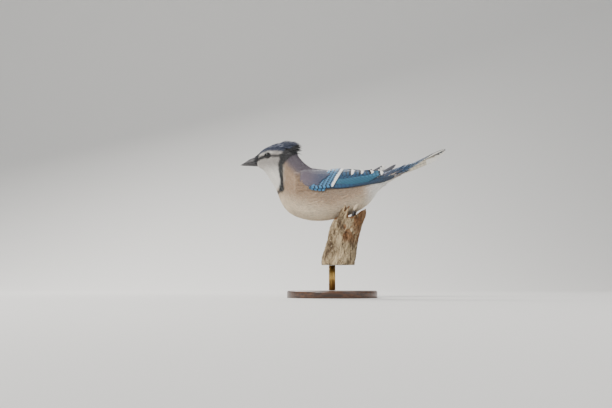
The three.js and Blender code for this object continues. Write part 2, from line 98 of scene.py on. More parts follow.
def unit(rows: Array) -> Array:
    """Returns rows scaled to length one."""
    return rows / np.maximum(np.linalg.norm(rows, axis=-1, keepdims=True), 1e-9)


class Palette:
    """Colours of the plumage, in linear light; the crown and the face are set darker than the feathers' own
    colour, as painted shade.
    """

    # Painted shade: the crown's own blue-grey, darkened as it looks in shade.
    CROWN = linear(58, 65, 86)
    MANTLE = linear(98, 89, 98)
    BREAST = linear(170, 142, 114)
    BELLY = linear(224, 206, 178)
    FLANK = linear(152, 130, 108)
    WHITE = linear(236, 232, 224)
    # Painted shade: the face's own pale grey, darkened as it looks in shade.
    FACE = linear(168, 162, 156)
    BLACK = linear(14, 14, 18)
    BLUE = linear(24, 70, 104)
    TEAL = linear(34, 92, 116)
    SKY = linear(60, 122, 164)
    DUSK = linear(44, 50, 60)
    GREY = linear(84, 84, 90)


# Shader building


class Value:
    """A socket in a shader, with arithmetic that adds Math nodes."""

    def __init__(self, graph: "Graph", socket: bpy.types.NodeSocket) -> None:
        """Keeps the graph and the socket."""
        self.graph, self.socket = graph, socket

    def _math(self, operation: str, *values: Any) -> "Value":
        """Returns the result of a Math node on values."""
        return self.graph.node("ShaderNodeMath", {"operation": operation}, dict(enumerate(values)))

    def __add__(self, other: Any) -> "Value":
        """Returns the sum."""
        return self._math("ADD", self, other)

    __radd__ = __add__

    def __sub__(self, other: Any) -> "Value":
        """Returns the difference."""
        return self._math("SUBTRACT", self, other)

    def __rsub__(self, other: Any) -> "Value":
        """Returns the reflected difference."""
        return self._math("SUBTRACT", other, self)

    def __mul__(self, other: Any) -> "Value":
        """Returns the product."""
        return self._math("MULTIPLY", self, other)

    __rmul__ = __mul__

    def __truediv__(self, other: Any) -> "Value":
        """Returns the quotient."""
        return self._math("DIVIDE", self, other)

    def sine(self) -> "Value":
        """Returns the sine."""
        return self._math("SINE", self)

    def absolute(self) -> "Value":
        """Returns the size without its sign."""
        return self._math("ABSOLUTE", self)

    def step(self, low: float, high: float) -> "Value":
        """Returns a smooth step from 0 at low to 1 at high."""
        settings = {"interpolation_type": "SMOOTHSTEP"}
        return self.graph.node("ShaderNodeMapRange", settings, {0: self, 1: low, 2: high})


class Graph:
    """The node tree of one material."""

    def __init__(self, name: str) -> None:
        """Makes an empty material.

        Args:
            name: The material's name.
        """
        self.material = bpy.data.materials.new(name)
        self.material.use_nodes = True
        self.tree = self.material.node_tree
        self.tree.nodes.clear()

    def node(self, kind: str, settings: dict[str, Any], sockets: dict[Any, Any], out: Any = 0) -> Value:
        """Adds a node.

        Args:
            kind: The node's type.
            settings: Attributes set before the sockets.
            sockets: Values or links by the socket's name or place.
            out: Name or place of the output that is returned.

        Returns:
            The output, as a Value.
        """
        made = self.tree.nodes.new(kind)
        for key, value in settings.items():
            setattr(made, key, value)
        for key, value in sockets.items():
            socket = made.inputs[key]
            if isinstance(value, Value):
                self.tree.links.new(value.socket, socket)
            elif isinstance(value, tuple) and len(value) == 3 and socket.type == "RGBA":
                socket.default_value = (*value, 1.0)
            else:
                socket.default_value = value
        return Value(self, made.outputs[out] if len(made.outputs) else None)

    def place(self, scale: float = 1.0, stretch: Sequence[float] = (1, 1, 1)) -> Value:
        """Returns the object's coordinates in millimetres, times scale and stretch.

        Args:
            scale: Factor on all coordinates.
            stretch: Factor on each coordinate.

        Returns:
            The scaled coordinates.
        """
        here = self.node("ShaderNodeTexCoord", {}, {}, "Object")
        factor = tuple(scale * 1000 * s for s in stretch)
        return self.node("ShaderNodeVectorMath", {"operation": "MULTIPLY"}, {0: here, 1: factor})

    def noise(self, place: Value, scale: float, detail: float = 3.0, rough: float = 0.5) -> Value:
        """Returns noise between 0 and 1 at a place."""
        sockets = {"Vector": place, "Scale": scale, "Detail": detail, "Roughness": rough}
        return self.node("ShaderNodeTexNoise", {}, sockets)

    def attribute(self, name: str, out: str = "Fac") -> Value:
        """Returns a named attribute of the mesh."""
        return self.node("ShaderNodeAttribute", {"attribute_name": name}, {}, out)

    def mix(self, share: Any, first: Any, second: Any) -> Value:
        """Returns two colours mixed by share."""
        settings = {"data_type": "RGBA"}
        return self.node("ShaderNodeMix", settings, {0: share, 6: first, 7: second}, 2)

    def shade(self, colour: Value, factor: Any) -> Value:
        """Returns a colour made lighter or darker by a factor.

        Args:
            colour: The colour.
            factor: Less than 1 for darker.

        Returns:
            The new colour.
        """
        grey = self.node("ShaderNodeCombineColor", {}, {0: factor, 1: factor, 2: factor})
        settings = {"data_type": "RGBA", "blend_type": "MULTIPLY"}
        return self.node("ShaderNodeMix", settings, {0: 1.0, 6: colour, 7: grey}, 2)

    def bump(self, height: Value, strength: float, distance: float) -> Value:
        """Returns a normal raised by height, with distance in millimetres."""
        sockets = {"Strength": strength, "Distance": distance * MM, "Height": height}
        return self.node("ShaderNodeBump", {}, sockets)

    def finish(self, **sockets: Any) -> bpy.types.Material:
        """Adds the surface shader.

        Args:
            **sockets: Its sockets, with underscores for spaces.

        Returns:
            The finished material.
        """
        named = {key.replace("_", " "): value for key, value in sockets.items()}
        shader = self.node("ShaderNodeBsdfPrincipled", {}, named)
        self.node("ShaderNodeOutputMaterial", {}, {"Surface": shader})
        return self.material


# Finishes


@dataclass(frozen=True)
class FeatherFinish:
    """Soft plumage: the tint of each feather with fine streaks along it."""

    name: str
    roughness: float = 0.8
    sheen: float = 0.4

    def make(self) -> bpy.types.Material:
        """Builds its node tree.

        Returns:
            The material.
        """
        g = Graph(self.name)
        tint = g.attribute("Tint", "Color")
        mottle = g.noise(g.place(0.45), 1.0, 4.0, 0.6)
        streak = g.noise(g.place(2.6, (0.3, 1.0, 1.0)), 1.0, 2.0, 0.5)
        tone = 0.84 + mottle * 0.24 + streak * 0.12
        height = streak + mottle * 0.5
        return g.finish(
            Base_Color=g.shade(tint, tone),
            Roughness=self.roughness,
            Sheen_Weight=self.sheen,
            Sheen_Roughness=0.5,
            Specular_IOR_Level=0.25,
            Normal=g.bump(height, 0.35, 0.12),
        )


@dataclass(frozen=True)
class VaneFinish:
    """A flight feather: blue vane with black bars, a dark shaft and a pale tip.

    The mesh states how far along the feather a point is, in millimetres from the tip, how far across
    it from -1 to 1, and how strong its bars and its white tip are.
    """

    name: str
    bar_every: float = 5.2
    bar_width: float = 0.36

    def make(self) -> bpy.types.Material:
        """Builds its node tree.

        Returns:
            The material.
        """
        g = Graph(self.name)
        from_tip = g.attribute("from_tip")
        across = g.attribute("across")
        wander = g.noise(g.place(0.22), 1.0, 2.0, 0.5) - 0.5
        phase = (from_tip + wander * 1.6 + across.absolute() * 0.9) * (2 * math.pi / self.bar_every)
        bars = phase.sine().step(1 - self.bar_width * 2, 1 - self.bar_width * 1.1) * g.attribute("barred")
        tint = g.attribute("Tint", "Color")
        dark = g.mix(bars, tint, Palette.BLACK)
        edge = across.absolute().step(0.84, 1.0)
        edged = g.mix(edge * 0.35, dark, Palette.DUSK)
        shaft = 1 - across.absolute().step(0.03, 0.1)
        lined = g.mix(shaft * 0.75, edged, Palette.BLACK)
        ragged = g.noise(g.place(1.4), 1.0, 2.0, 0.5) - 0.5
        white = (g.attribute("white") - from_tip + ragged * 0.9).step(-0.35, 0.35)
        coloured = g.mix(white, lined, Palette.WHITE)
        band = (from_tip - g.attribute("white")).absolute()
        subterminal = (1 - (band - 1.6).absolute().step(1.0, 1.7)) * g.attribute("banded") * (1 - white)
        final = g.mix(subterminal, coloured, Palette.BLACK)
        barbs = (g.attribute("barb") * (2 * math.pi / 0.42)).sine()
        tone = 0.9 + g.noise(g.place(0.5), 1.0, 3.0, 0.6) * 0.2 + barbs * 0.045
        return g.finish(
            Base_Color=g.shade(final, tone),
            Roughness=0.46,
            Sheen_Weight=0.12,
            Specular_IOR_Level=0.42,
            Normal=g.bump(barbs + shaft * 2.5, 0.3, 0.1),
        )


@dataclass(frozen=True)
class HornFinish:
    """Blackish horn of the bill and claws, with paler growth streaks."""

    name: str
    base: Colour = linear(42, 41, 44)
    pale: Colour = linear(96, 88, 82)

    def make(self) -> bpy.types.Material:
        """Builds its node tree.

        Returns:
            The material.
        """
        g = Graph(self.name)
        streak = g.noise(g.place(0.5, (0.25, 1.4, 1.4)), 1.0, 5.0, 0.6)
        fine = g.noise(g.place(2.4), 1.0, 3.0, 0.6)
        colour = g.mix(streak.step(0.5, 0.82) * 0.6, self.base, self.pale)
        return g.finish(
            Base_Color=colour,
            Roughness=0.3 + fine * 0.16,
            Specular_IOR_Level=0.5,
            Normal=g.bump(streak + fine * 0.4, 0.25, 0.15),
        )


@dataclass(frozen=True)
class LegFinish:
    """Dark scaly skin of the tarsus and toes."""

    name: str
    base: Colour = linear(50, 48, 52)
    pale: Colour = linear(98, 92, 90)

    def make(self) -> bpy.types.Material:
        """Builds its node tree.

        Returns:
            The material.
        """
        g = Graph(self.name)
        cells = g.node(
            "ShaderNodeTexVoronoi", {"feature": "DISTANCE_TO_EDGE"},
            {"Vector": g.place(0.75, (1, 1, 1.6)), "Scale": 1.0},
        )
        plate = cells.step(0.02, 0.16)
        dust = g.noise(g.place(0.7), 1.0, 4.0, 0.6)
        colour = g.mix(plate * 0.45 + dust * 0.25, self.base, self.pale)
        return g.finish(Base_Color=colour, Roughness=0.5, Normal=g.bump(plate, 0.6, 0.18))


@dataclass(frozen=True)
class EyeFinish:
    """A wet, very dark brown eye with a black pupil that faces outwards."""

    name: str

    def make(self) -> bpy.types.Material:
        """Builds its node tree.

        Returns:
            The material.
        """
        g = Graph(self.name)
        pupil = 1 - g.attribute("iris").step(0.42, 0.5)
        flecks = g.noise(g.place(2.0), 1.0, 4.0, 0.6)
        iris = g.mix(flecks, linear(22, 14, 10), linear(40, 26, 18))
        colour = g.mix(pupil, iris, linear(4, 4, 5))
        return g.finish(Base_Color=colour, Roughness=0.04, Coat_Weight=0.2, Specular_IOR_Level=0.4)


@dataclass(frozen=True)
class BarkFinish:
    """Weathered bark: pale plates, dark cracks, and reddish wood where broken and where peeled; the peeled
    side is partly painted shade.
    """

    name: str

    def make(self) -> bpy.types.Material:
        """Builds its node tree.

        Returns:
            The material.
        """
        g = Graph(self.name)
        # The torn mask also lays dark wood down the branch's right side: partly real peeled bark, partly
        # painted shade.
        torn = g.attribute("torn")
        coarse = g.noise(g.place(0.075, (1, 1, 0.45)), 1.0, 6.0, 0.62)
        fine = g.noise(g.place(0.42, (1, 1, 0.5)), 1.0, 5.0, 0.6)
        crack = g.noise(g.place(0.2, (1.6, 1.6, 0.3)), 1.0, 6.0, 0.7)
        grain = g.noise(g.place(0.9, (1, 1, 0.1)), 1.0, 4.0, 0.6)
        bark = g.mix(coarse.step(0.36, 0.62), linear(84, 68, 52), linear(184, 164, 130))
        bark = g.mix(fine.step(0.52, 0.74) * 0.55, bark, linear(222, 206, 170))
        bark = g.mix((1 - crack.step(0.36, 0.47)) * 0.85, bark, linear(46, 32, 24))
        wood = g.mix(grain, linear(70, 36, 24), linear(158, 112, 72))
        wood = g.mix((1 - fine.step(0.38, 0.55)) * 0.7, wood, linear(38, 20, 16))
        height = coarse * 1.6 + fine * 0.7 + crack * 1.2 + grain * torn
        return g.finish(
            Base_Color=g.mix(torn, bark, wood),
            Roughness=0.9,
            Specular_IOR_Level=0.2,
            Normal=g.bump(height, 0.85, 1.1),
        )


@dataclass(frozen=True)
class StandWoodFinish:
    """Dark varnished wood, with its grain running along X."""

    name: str

    def make(self) -> bpy.types.Material:
        """Builds its node tree.

        Returns:
            The material.
        """
        g = Graph(self.name)
        sway = g.noise(g.place(0.02), 1.0, 2.0, 0.5)
        grain = g.noise(g.place(0.3, (0.06, 1.0, 1.0)), 1.0, 6.0, 0.6)
        pores = g.noise(g.place(2.0, (0.05, 1.0, 1.0)), 1.0, 3.0, 0.6)
        colour = g.mix((grain + sway * 0.4 - 0.2).step(0.3, 0.75), linear(46, 28, 18), linear(98, 62, 38))
        colour = g.mix(pores.step(0.6, 0.75) * 0.6, colour, linear(24, 14, 10))
        return g.finish(
            Base_Color=colour, Roughness=0.34 + pores * 0.12, Coat_Weight=0.35,
            Normal=g.bump(pores + grain * 0.5, 0.15, 0.2),
        )


@dataclass(frozen=True)
class BrassFinish:
    """Satin brass, lightly tarnished."""

    name: str

    def make(self) -> bpy.types.Material:
        """Builds its node tree.

        Returns:
            The material.
        """
        g = Graph(self.name)
        tarnish = g.noise(g.place(0.16), 1.0, 5.0, 0.6)
        lines = g.noise(g.place(3.0, (0.05, 0.05, 4.0)), 1.0, 2.0, 0.5)
        colour = g.mix(tarnish.step(0.45, 0.8) * 0.6, linear(196, 160, 92), linear(122, 92, 52))
        return g.finish(
            Base_Color=colour, Metallic=1.0, Roughness=0.28 + tarnish * 0.2,
            Normal=g.bump(lines, 0.12, 0.08),
        )


@dataclass(frozen=True)
class StudioFinish:
    """The plain pale floor and the sweep behind it."""

    name: str

    def make(self) -> bpy.types.Material:
        """Returns the material."""
        g = Graph(self.name)
        return g.finish(Base_Color=linear(214, 213, 210), Roughness=0.95, Specular_IOR_Level=0.1)


# Mesh building


def turned(points: Array) -> Array:
    """Returns points of the bird's own frame, turned on the perch by its yaw.

    Args:
        points: Rows of x, y, z.

    Returns:
        Rows of x, y, z.
    """
    c, s = math.cos(YAW), math.sin(YAW)
    x, y, z = points[..., 0], points[..., 1], points[..., 2]
    return np.stack([x * c + y * s, -x * s + y * c, z], axis=-1)


class Piece:
    """A mesh piece gathered from rows of points and faces, with attributes for its finish."""

    def __init__(self, name: str) -> None:
        """Starts an empty piece.

        Args:
            name: The piece's name.
        """
        self.name = name
        self.points: list[Array] = []
        self.faces: list[Array] = []
        self.uvs: list[Array] = []
        self.numbers: dict[str, list[Array]] = {}
        self.tints: list[Array] = []
        self.count = 0

    def add(self, points: Array, faces: Array, tint: Array | None = None, uv: Array | None = None,
            **numbers: Array) -> None:
        """Adds a closed patch of mesh and turns its faces outward.

        Args:
            points: Rows of x, y, z in millimetres.
            faces: Rows of indices of points.
            tint: A colour for each point.
            uv: A place on the bake map for each point.
            **numbers: Named numbers for each point.
        """
        corners = points[faces]
        halves = np.cross(corners[:, 1] - corners[:, 0], corners[:, 2] - corners[:, 0])
        halves += np.cross(corners[:, 2] - corners[:, 0], corners[:, -1] - corners[:, 0])
        if ((corners.mean(axis=1) - points.mean(axis=0)) * halves).sum() < 0:
            faces = faces[:, ::-1]
        self.points.append(points)
        self.faces.append(faces + self.count)
        self.count += len(points)
        if tint is not None:
            self.tints.append(np.broadcast_to(tint, (len(points), 3)))
        if uv is not None:
            self.uvs.append(uv)
        for key, value in numbers.items():
            self.numbers.setdefault(key, []).append(np.broadcast_to(value, (len(points),)))

    def build(self, material: bpy.types.Material, slot: str, replaces: Sequence[str] = (),
              rounded: bool = True) -> bpy.types.Object:
        """Makes the object, which rides on the frame.

        Args:
            material: Its finish.
            slot: The record's material slot it stands for; not used.
            replaces: The nodes that it takes the place of.
            rounded: Whether it is shaded smooth.

        Returns:
            The object.
        """
        points = np.concatenate(self.points) * MM
        faces = [tuple(dict.fromkeys(row)) for block in self.faces for row in block.tolist()]
        mesh = bpy.data.meshes.new(self.name)
        mesh.from_pydata(points.tolist(), [], faces)
        if self.tints:
            layer = mesh.color_attributes.new("Tint", "FLOAT_COLOR", "POINT")
            rgba = np.concatenate([np.concatenate(self.tints), np.ones((self.count, 1))], axis=1)
            layer.data.foreach_set("color", rgba.astype(np.float32).ravel())
        for key, blocks in self.numbers.items():
            layer = mesh.attributes.new(key, "FLOAT", "POINT")
            layer.data.foreach_set("value", np.concatenate(blocks).astype(np.float32))
        if self.uvs:
            corners = np.empty(len(mesh.loops), dtype=np.int32)
            mesh.loops.foreach_get("vertex_index", corners)
            layer = mesh.uv_layers.new(name="OFBake")
            layer.data.foreach_set("uv", np.concatenate(self.uvs)[corners].astype(np.float32).ravel())
        mesh.polygons.foreach_set("use_smooth", np.full(len(mesh.polygons), rounded))
        mesh.materials.append(material)
        mesh.update()
        made = bpy.data.objects.new(self.name, mesh)
        bpy.context.scene.collection.objects.link(made)
        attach(made, "root")
        if replaces:
            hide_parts(*replaces)
        triangles = sum(len(face) - 2 for face in faces)
        log.info("%s: %d triangles", self.name, triangles)
        return made


def grid_faces(rows: int, columns: int, around: bool = False) -> Array:
    """Returns the quads of a grid of points, closed across its columns if around.

    Args:
        rows: How many rows.
        columns: Points in a row.
        around: Whether the last column joins the first.

    Returns:
        Rows of four indices.
    """
    last = columns if around else columns - 1
    r, c = np.meshgrid(np.arange(rows - 1), np.arange(last), indexing="ij")
    n = (c + 1) % columns
    low, high = r * columns, (r + 1) * columns
    return np.stack([low + c, low + n, high + n, high + c], -1).reshape(-1, 4)


def shares(count: int) -> list[float]:
    """Returns evenly spaced numbers from 0 to 1."""
    return [i / (count - 1) for i in range(count)]


def sheet_faces(rows: int, columns: int) -> Array:
    """Returns the faces of an upper and a lower grid of points, closed along their rim.

    Args:
        rows: How many rows.
        columns: Points in a row.

    Returns:
        Rows of four indices.
    """
    count = rows * columns
    top = grid_faces(rows, columns)
    rim = np.concatenate([
        np.arange(columns), np.arange(1, rows) * columns + columns - 1,
        (rows - 1) * columns + np.arange(columns - 2, -1, -1), np.arange(rows - 2, 0, -1) * columns,
    ])
    after = np.roll(rim, -1)
    sides = np.stack([rim, rim + count, after + count, after], axis=-1)
    return np.concatenate([top, top[:, ::-1] + count, sides])


def blade_faces(count: int, rows: int) -> Array:
    """Returns the faces of a number of closed blades with three corners in each row.

    Args:
        count: How many blades.
        rows: Rows of corners in each.

    Returns:
        Rows of four indices.
    """
    per = rows * 3
    ends = [[2, 1, 0, 0], [per - 3, per - 2, per - 1, per - 1]]
    one = np.concatenate([grid_faces(rows, 3, around=True), ends])
    return (one[None] + (np.arange(count) * per)[:, None, None]).reshape(-1, 4)


def blade_uvs(homes: Array, stops: Sequence[float]) -> Array:
    """Returns bake map places: a small patch for each blade at its root's place.

    Args:
        homes: The place of each root.
        stops: How far along the blade each row lies.

    Returns:
        A place for each point.
    """
    patch = np.stack([np.tile([0, 0.5, 1], len(stops)), np.repeat(stops, 3)], axis=-1) * PATCH
    return (homes[:, None, :] + patch[None]).reshape(-1, 2)


def closed_tube(rings: Array) -> tuple[Array, Array]:
    """Returns the points and faces of rings joined in a row, with a point at each end.

    Args:
        rings: Points by row, column and axis.

    Returns:
        Points and faces.
    """
    rows, columns = rings.shape[:2]
    points = np.concatenate([rings.reshape(-1, 3), rings[:1].mean(axis=1), rings[-1:].mean(axis=1)])
    sides = grid_faces(rows, columns, around=True)
    i = np.arange(columns)
    j = (i + 1) % columns
    first, last = rows * columns, rows * columns + 1
    low = np.stack([np.full(columns, first), j, i, i], axis=-1)
    high = np.stack([np.full(columns, last), i + (rows - 1) * columns, j + (rows - 1) * columns], axis=-1)
    faces = np.concatenate([sides, low, np.concatenate([high, high[:, -1:]], axis=1)])
    return points, faces


# The body's form


STATIONS = np.array([
    (-105, 197.5, -105, 182.5, 5.6), (-100.5, 203, -101.5, 180.5, 8.6), (-94.5, 207.5, -96.5, 178, 11.6),
    (-85, 211.5, -90, 170, 14.6), (-74, 214, -84.5, 161, 16.6), (-62, 214, -79, 152, 17.6),
    (-53, 209, -75, 143, 18.4), (-49, 199.5, -71.5, 134, 19.8), (-43.5, 191, -66.5, 125.5, 22.2),
    (-35.5, 183.5, -58, 117, 25.2), (-26.5, 178, -44.5, 110.5, 27.8), (-14, 175, -28, 107, 29.6),
    (3, 173.5, -8.5, 107, 30), (21, 172.5, 14, 111, 28.6), (39, 171.5, 35, 119, 25),
    (54.5, 170.5, 51, 130, 20), (67, 170.5, 63.5, 146, 14.5), (78, 172.5, 76, 157.5, 10.2),
    (91, 177, 92, 167.5, 7.6),
])


class BodyForm:
    """The body's cross-sections from the root of the bill to the root of the tail.

    Each row is the highest point's x and z, the lowest point's x and z, and half the width.
    """

    rows = STATIONS
    power = 2.15

    @property
    def last(self) -> float:
        """The last station."""
        return len(self.rows) - 1.0

    def section(self, t: Array) -> Array:
        """Returns the cross-section's five numbers at each station t.

        Args:
            t: Stations along the body.

        Returns:
            Rows of five numbers.
        """
        t = np.clip(t, 0.0, self.last - 1e-6)
        i = np.floor(t).astype(int)
        f = (t - i)[..., None]
        a, b, c, d = (self.rows[np.clip(i + step, 0, len(self.rows) - 1)] for step in (-1, 0, 1, 2))
        return b + 0.5 * f * (c - a + f * (2 * a - 5 * b + 4 * c - d + f * (3 * (b - c) + d - a)))

    def point(self, t: Array, turn: Array, grow: Array | float = 0.0) -> Array:
        """Returns points of the surface.

        Args:
            t: Stations along the body.
            turn: Angles round it, 0 on top and half pi on the left flank.
            grow: How far outside the surface, in millimetres.

        Returns:
            Rows of x, y, z in the bird's frame.
        """
        t, turn, grow = np.broadcast_arrays(np.asarray(t, float), turn, grow)
        s = self.section(t)
        top, bottom = s[..., 0:2], s[..., 2:4]
        middle, up = (top + bottom) / 2, (top - bottom) / 2
        reach = np.linalg.norm(up, axis=-1)
        up = up / reach[..., None]
        k = 2 / self.power
        rise = (reach + grow) * np.sign(np.cos(turn)) * np.abs(np.cos(turn)) ** k
        out = (s[..., 4] + grow) * np.sign(np.sin(turn)) * np.abs(np.sin(turn)) ** k
        x, z = middle[..., 0] + up[..., 0] * rise, middle[..., 1] + up[..., 1] * rise
        return np.stack([x, -out, z], axis=-1)

    def frame(self, t: Array, turn: Array) -> tuple[Array, Array, Array, Array]:
        """Returns the unit vectors along, across and out of the surface, and millimetres per station.

        Args:
            t: Stations along the body.
            turn: Angles round the body.

        Returns:
            Three vectors and the pace for each place.
        """
        along = self.point(t + 0.06, turn) - self.point(t - 0.06, turn)
        pace = np.linalg.norm(along, axis=-1) / 0.12
        round_it = self.point(t, turn + 0.06) - self.point(t, turn - 0.06)
        normal = unit(np.cross(along, round_it))
        centre = self.point(t, turn, -3.0) - self.point(t, turn)
        normal = np.where((normal * centre).sum(-1, keepdims=True) > 0, -normal, normal)
        along = unit(along)
        return along, unit(np.cross(normal, along)), normal, np.maximum(pace, 2.0)

    def flank(self, x: Array, z: Array) -> Array:
        """Returns how far the flank stands out at places of the side view.

        Args:
            x: Places along the bird.
            z: Heights.

        Returns:
            Half widths.
        """
        low, high = np.full(x.shape, 4.0), np.full(x.shape, self.last)
        for _ in range(22):
            t = (low + high) / 2
            s = self.section(t)
            past = (x - s[..., 2]) * (s[..., 1] - s[..., 3]) - (z - s[..., 3]) * (s[..., 0] - s[..., 2]) > 0
            low, high = np.where(past, t, low), np.where(past, high, t)
        s = self.section(low)
        reach = np.hypot(s[..., 0] - s[..., 2], s[..., 1] - s[..., 3]) / 2
        out = np.hypot(x - (s[..., 0] + s[..., 2]) / 2, z - (s[..., 1] + s[..., 3]) / 2) / reach
        return s[..., 4] * (1 - np.minimum(out, 1.0) ** self.power) ** (1 / self.power)


BODY = BodyForm()


def away_from_line(x: Array, z: Array, line: Sequence[tuple[float, float]]) -> Array:
    """Returns the distance of each place from a bent line in the side view.

    Args:
        x: Places along the bird.
        z: Heights.
        line: Its corners.

    Returns:
        A distance for each place.
    """
    nearest = np.full(x.shape, 1e9)
    for (ax, az), (bx, bz) in zip(line, line[1:]):
        span = (bx - ax) ** 2 + (bz - az) ** 2
        f = np.clip(((x - ax) * (bx - ax) + (z - az) * (bz - az)) / span, 0, 1)
        nearest = np.minimum(nearest, np.hypot(x - ax - f * (bx - ax), z - az - f * (bz - az)))
    return nearest


@dataclass
class Plumage:
    """Where each colour lies on the bird, in the side view of its own frame."""

    collar: tuple = (
        (-51, 209), (-58.5, 202), (-65, 193), (-69, 184), (-69, 174), (-67.5, 162), (-68.5, 150.5),
    )
    collar_heights: tuple = (146, 151, 160, 176, 188, 198, 206, 212)
    collar_halves: tuple = (4.0, 4.6, 2.4, 3.2, 4.2, 7.0, 6.4, 3.5)
    bib: tuple = ((-68.5, 149.5), (-74, 147.2), (-81, 145))
    lore: tuple = ((-105, 190.8), (-99, 193), (-93.5, 195.5))
    stripe: tuple = ((-84.5, 196), (-77, 195.5), (-66, 197))
    crown_edge: tuple = ((-104, 197), (-97, 200.5), (-89, 203.2), (-78, 203), (-68, 202), (-58, 201))

    def back(self, base: Array, points: Array, stray: Array) -> Array:
        """Returns the colours behind the head: mantle, breast, belly, vent and rump.

        Args:
            base: The colours so far.
            points: Rows of x, y, z.
            stray: A small shift for each point.

        Returns:
            A colour for each point.
        """
        x, z = points[:, 0], points[:, 2]
        down = z - np.interp(x, [-70, -40, 0, 60, 92], [150, 138, 128, 146, 172]) + stray * 2
        base = blend(base, Palette.BREAST, smooth(down, -20, 6))
        sides = smooth(down, -4, 16) * smooth(x, -45, -10) * (1 - smooth(x, 30, 60))
        base = blend(base, Palette.FLANK, sides)
        line = np.interp(x, [-66, -48, -20, 40, 70, 92], [194, 171, 160, 158, 161, 167])
        base = blend(base, Palette.MANTLE, smooth(z - line + stray * 2, -9, 7))
        base = blend(base, Palette.WHITE, smooth(x + stray, 40, 62) * (1 - smooth(z - line, -5, 2)))
        return blend(base, Palette.BLUE, smooth(x + stray, 34, 60) * smooth(z - line, 0, 6) * 0.8)

    def head(self, base: Array, points: Array, stray: Array) -> Array:
        """Returns the colours with the face, the crown and the black marks laid over them.

        Args:
            base: The colours so far.
            points: Rows of x, y, z.
            stray: A small shift for each point.

        Returns:
            A colour for each point.
        """
        x, z = points[:, 0], points[:, 2]
        # The face's grey above the white throat is partly painted shade.
        face = blend(np.tile(Palette.WHITE, (len(x), 1)), Palette.FACE, smooth(z + stray, 170, 188))
        front = smooth(-x + stray, 62, 70) * smooth(z + (-x - 70) * 0.5, 150, 157)
        base = blend(base, face, front)
        edge = np.interp(x, [p[0] for p in self.crown_edge], [p[1] for p in self.crown_edge])
        # The crown's colour laid here is partly painted shade.
        base = blend(base, Palette.CROWN, smooth(z - edge + stray * 0.8, -1.2, 1.4) * smooth(-x, 48, 54))
        brow = np.exp(-((z - edge + 1.8) / 1.3) ** 2) * smooth(-x, 76, 84) * (1 - smooth(-x, 102, 104))
        base = blend(base, Palette.WHITE, brow * 0.7)
        collar = away_from_line(x, z, self.collar) + stray * 0.5
        half = np.interp(z, self.collar_heights, self.collar_halves)
        base = blend(base, Palette.BLACK, 1 - smooth(collar, half - 1.0, half + 1.1))
        bib = away_from_line(x, z, self.bib) + stray * 0.4
        base = blend(base, Palette.BLACK, (1 - smooth(bib, 1.2, 3.0)) * 0.9)
        lore = away_from_line(x, z, self.lore) + stray * 0.3
        base = blend(base, Palette.BLACK, 1 - smooth(lore, 1.4, 2.6))
        stripe = away_from_line(x, z, self.stripe) + stray * 0.3
        base = blend(base, Palette.BLACK, (1 - smooth(stripe, 1.0, 2.8)) * 0.85)
        socket = np.hypot(x - EYE_X, (z - EYE_Z) * 1.15) + stray * 0.25
        base = blend(base, Palette.BLACK, (1 - smooth(socket, 4.4, 6.0)) * 0.9)
        return blend(base, Palette.BLACK, smooth(-x, 100.5, 103) * smooth(z, 190, 194) * 0.8)

    def tint(self, points: Array, seed: int = 0) -> Array:
        """Returns the colour of the plumage at points of the bird's own frame.

        Args:
            points: Rows of x, y, z.
            seed: Seed of the small differences between feathers.

        Returns:
            A colour for each point.
        """
        rng = np.random.default_rng(seed)
        stray = rng.normal(0, 0.6, len(points))
        base = self.back(np.tile(Palette.BELLY, (len(points), 1)), points, stray)
        base = self.head(base, points, stray)
        broad = 0.05 * np.sin(points @ np.array([0.41, 0.33, 0.52]) + 2 * np.sin(points[:, 0] * 0.23))
        tone = 1 + rng.normal(0, 0.06, len(points)) + broad
        return np.clip(base * tone[:, None], 0.004, 0.95)


PLUMAGE = Plumage()


class Skin:
    """The one skin under the plumage, from the bill's root to the root of the tail."""

    depth = 0.8
    rows, columns = 220, 112

    def build(self) -> bpy.types.Object:
        """Returns the skin, which takes the place of the nodes of flesh.

        Returns:
            The object.
        """
        t = np.linspace(0.0, BODY.last, self.rows)[:, None]
        turn = (2 * math.pi * np.arange(self.columns) / self.columns)[None, :]
        rings = BODY.point(t, turn, -self.depth)
        points, faces = closed_tube(rings)
        piece = Piece("skin")
        t_flat = np.append(np.broadcast_to(t, rings.shape[:2]).ravel(), [0.0, BODY.last])
        turn_flat = np.append(np.broadcast_to(turn, rings.shape[:2]).ravel(), [0.0, 0.0])
        uv = np.stack([turn_flat / (2 * math.pi), t_flat / BODY.last], axis=-1)
        piece.add(turned(points), faces, PLUMAGE.tint(points, 1), uv)
        return piece.build(FeatherFinish("plumage_skin").make(), "body_feathers", ["head", "neck", "torso"])


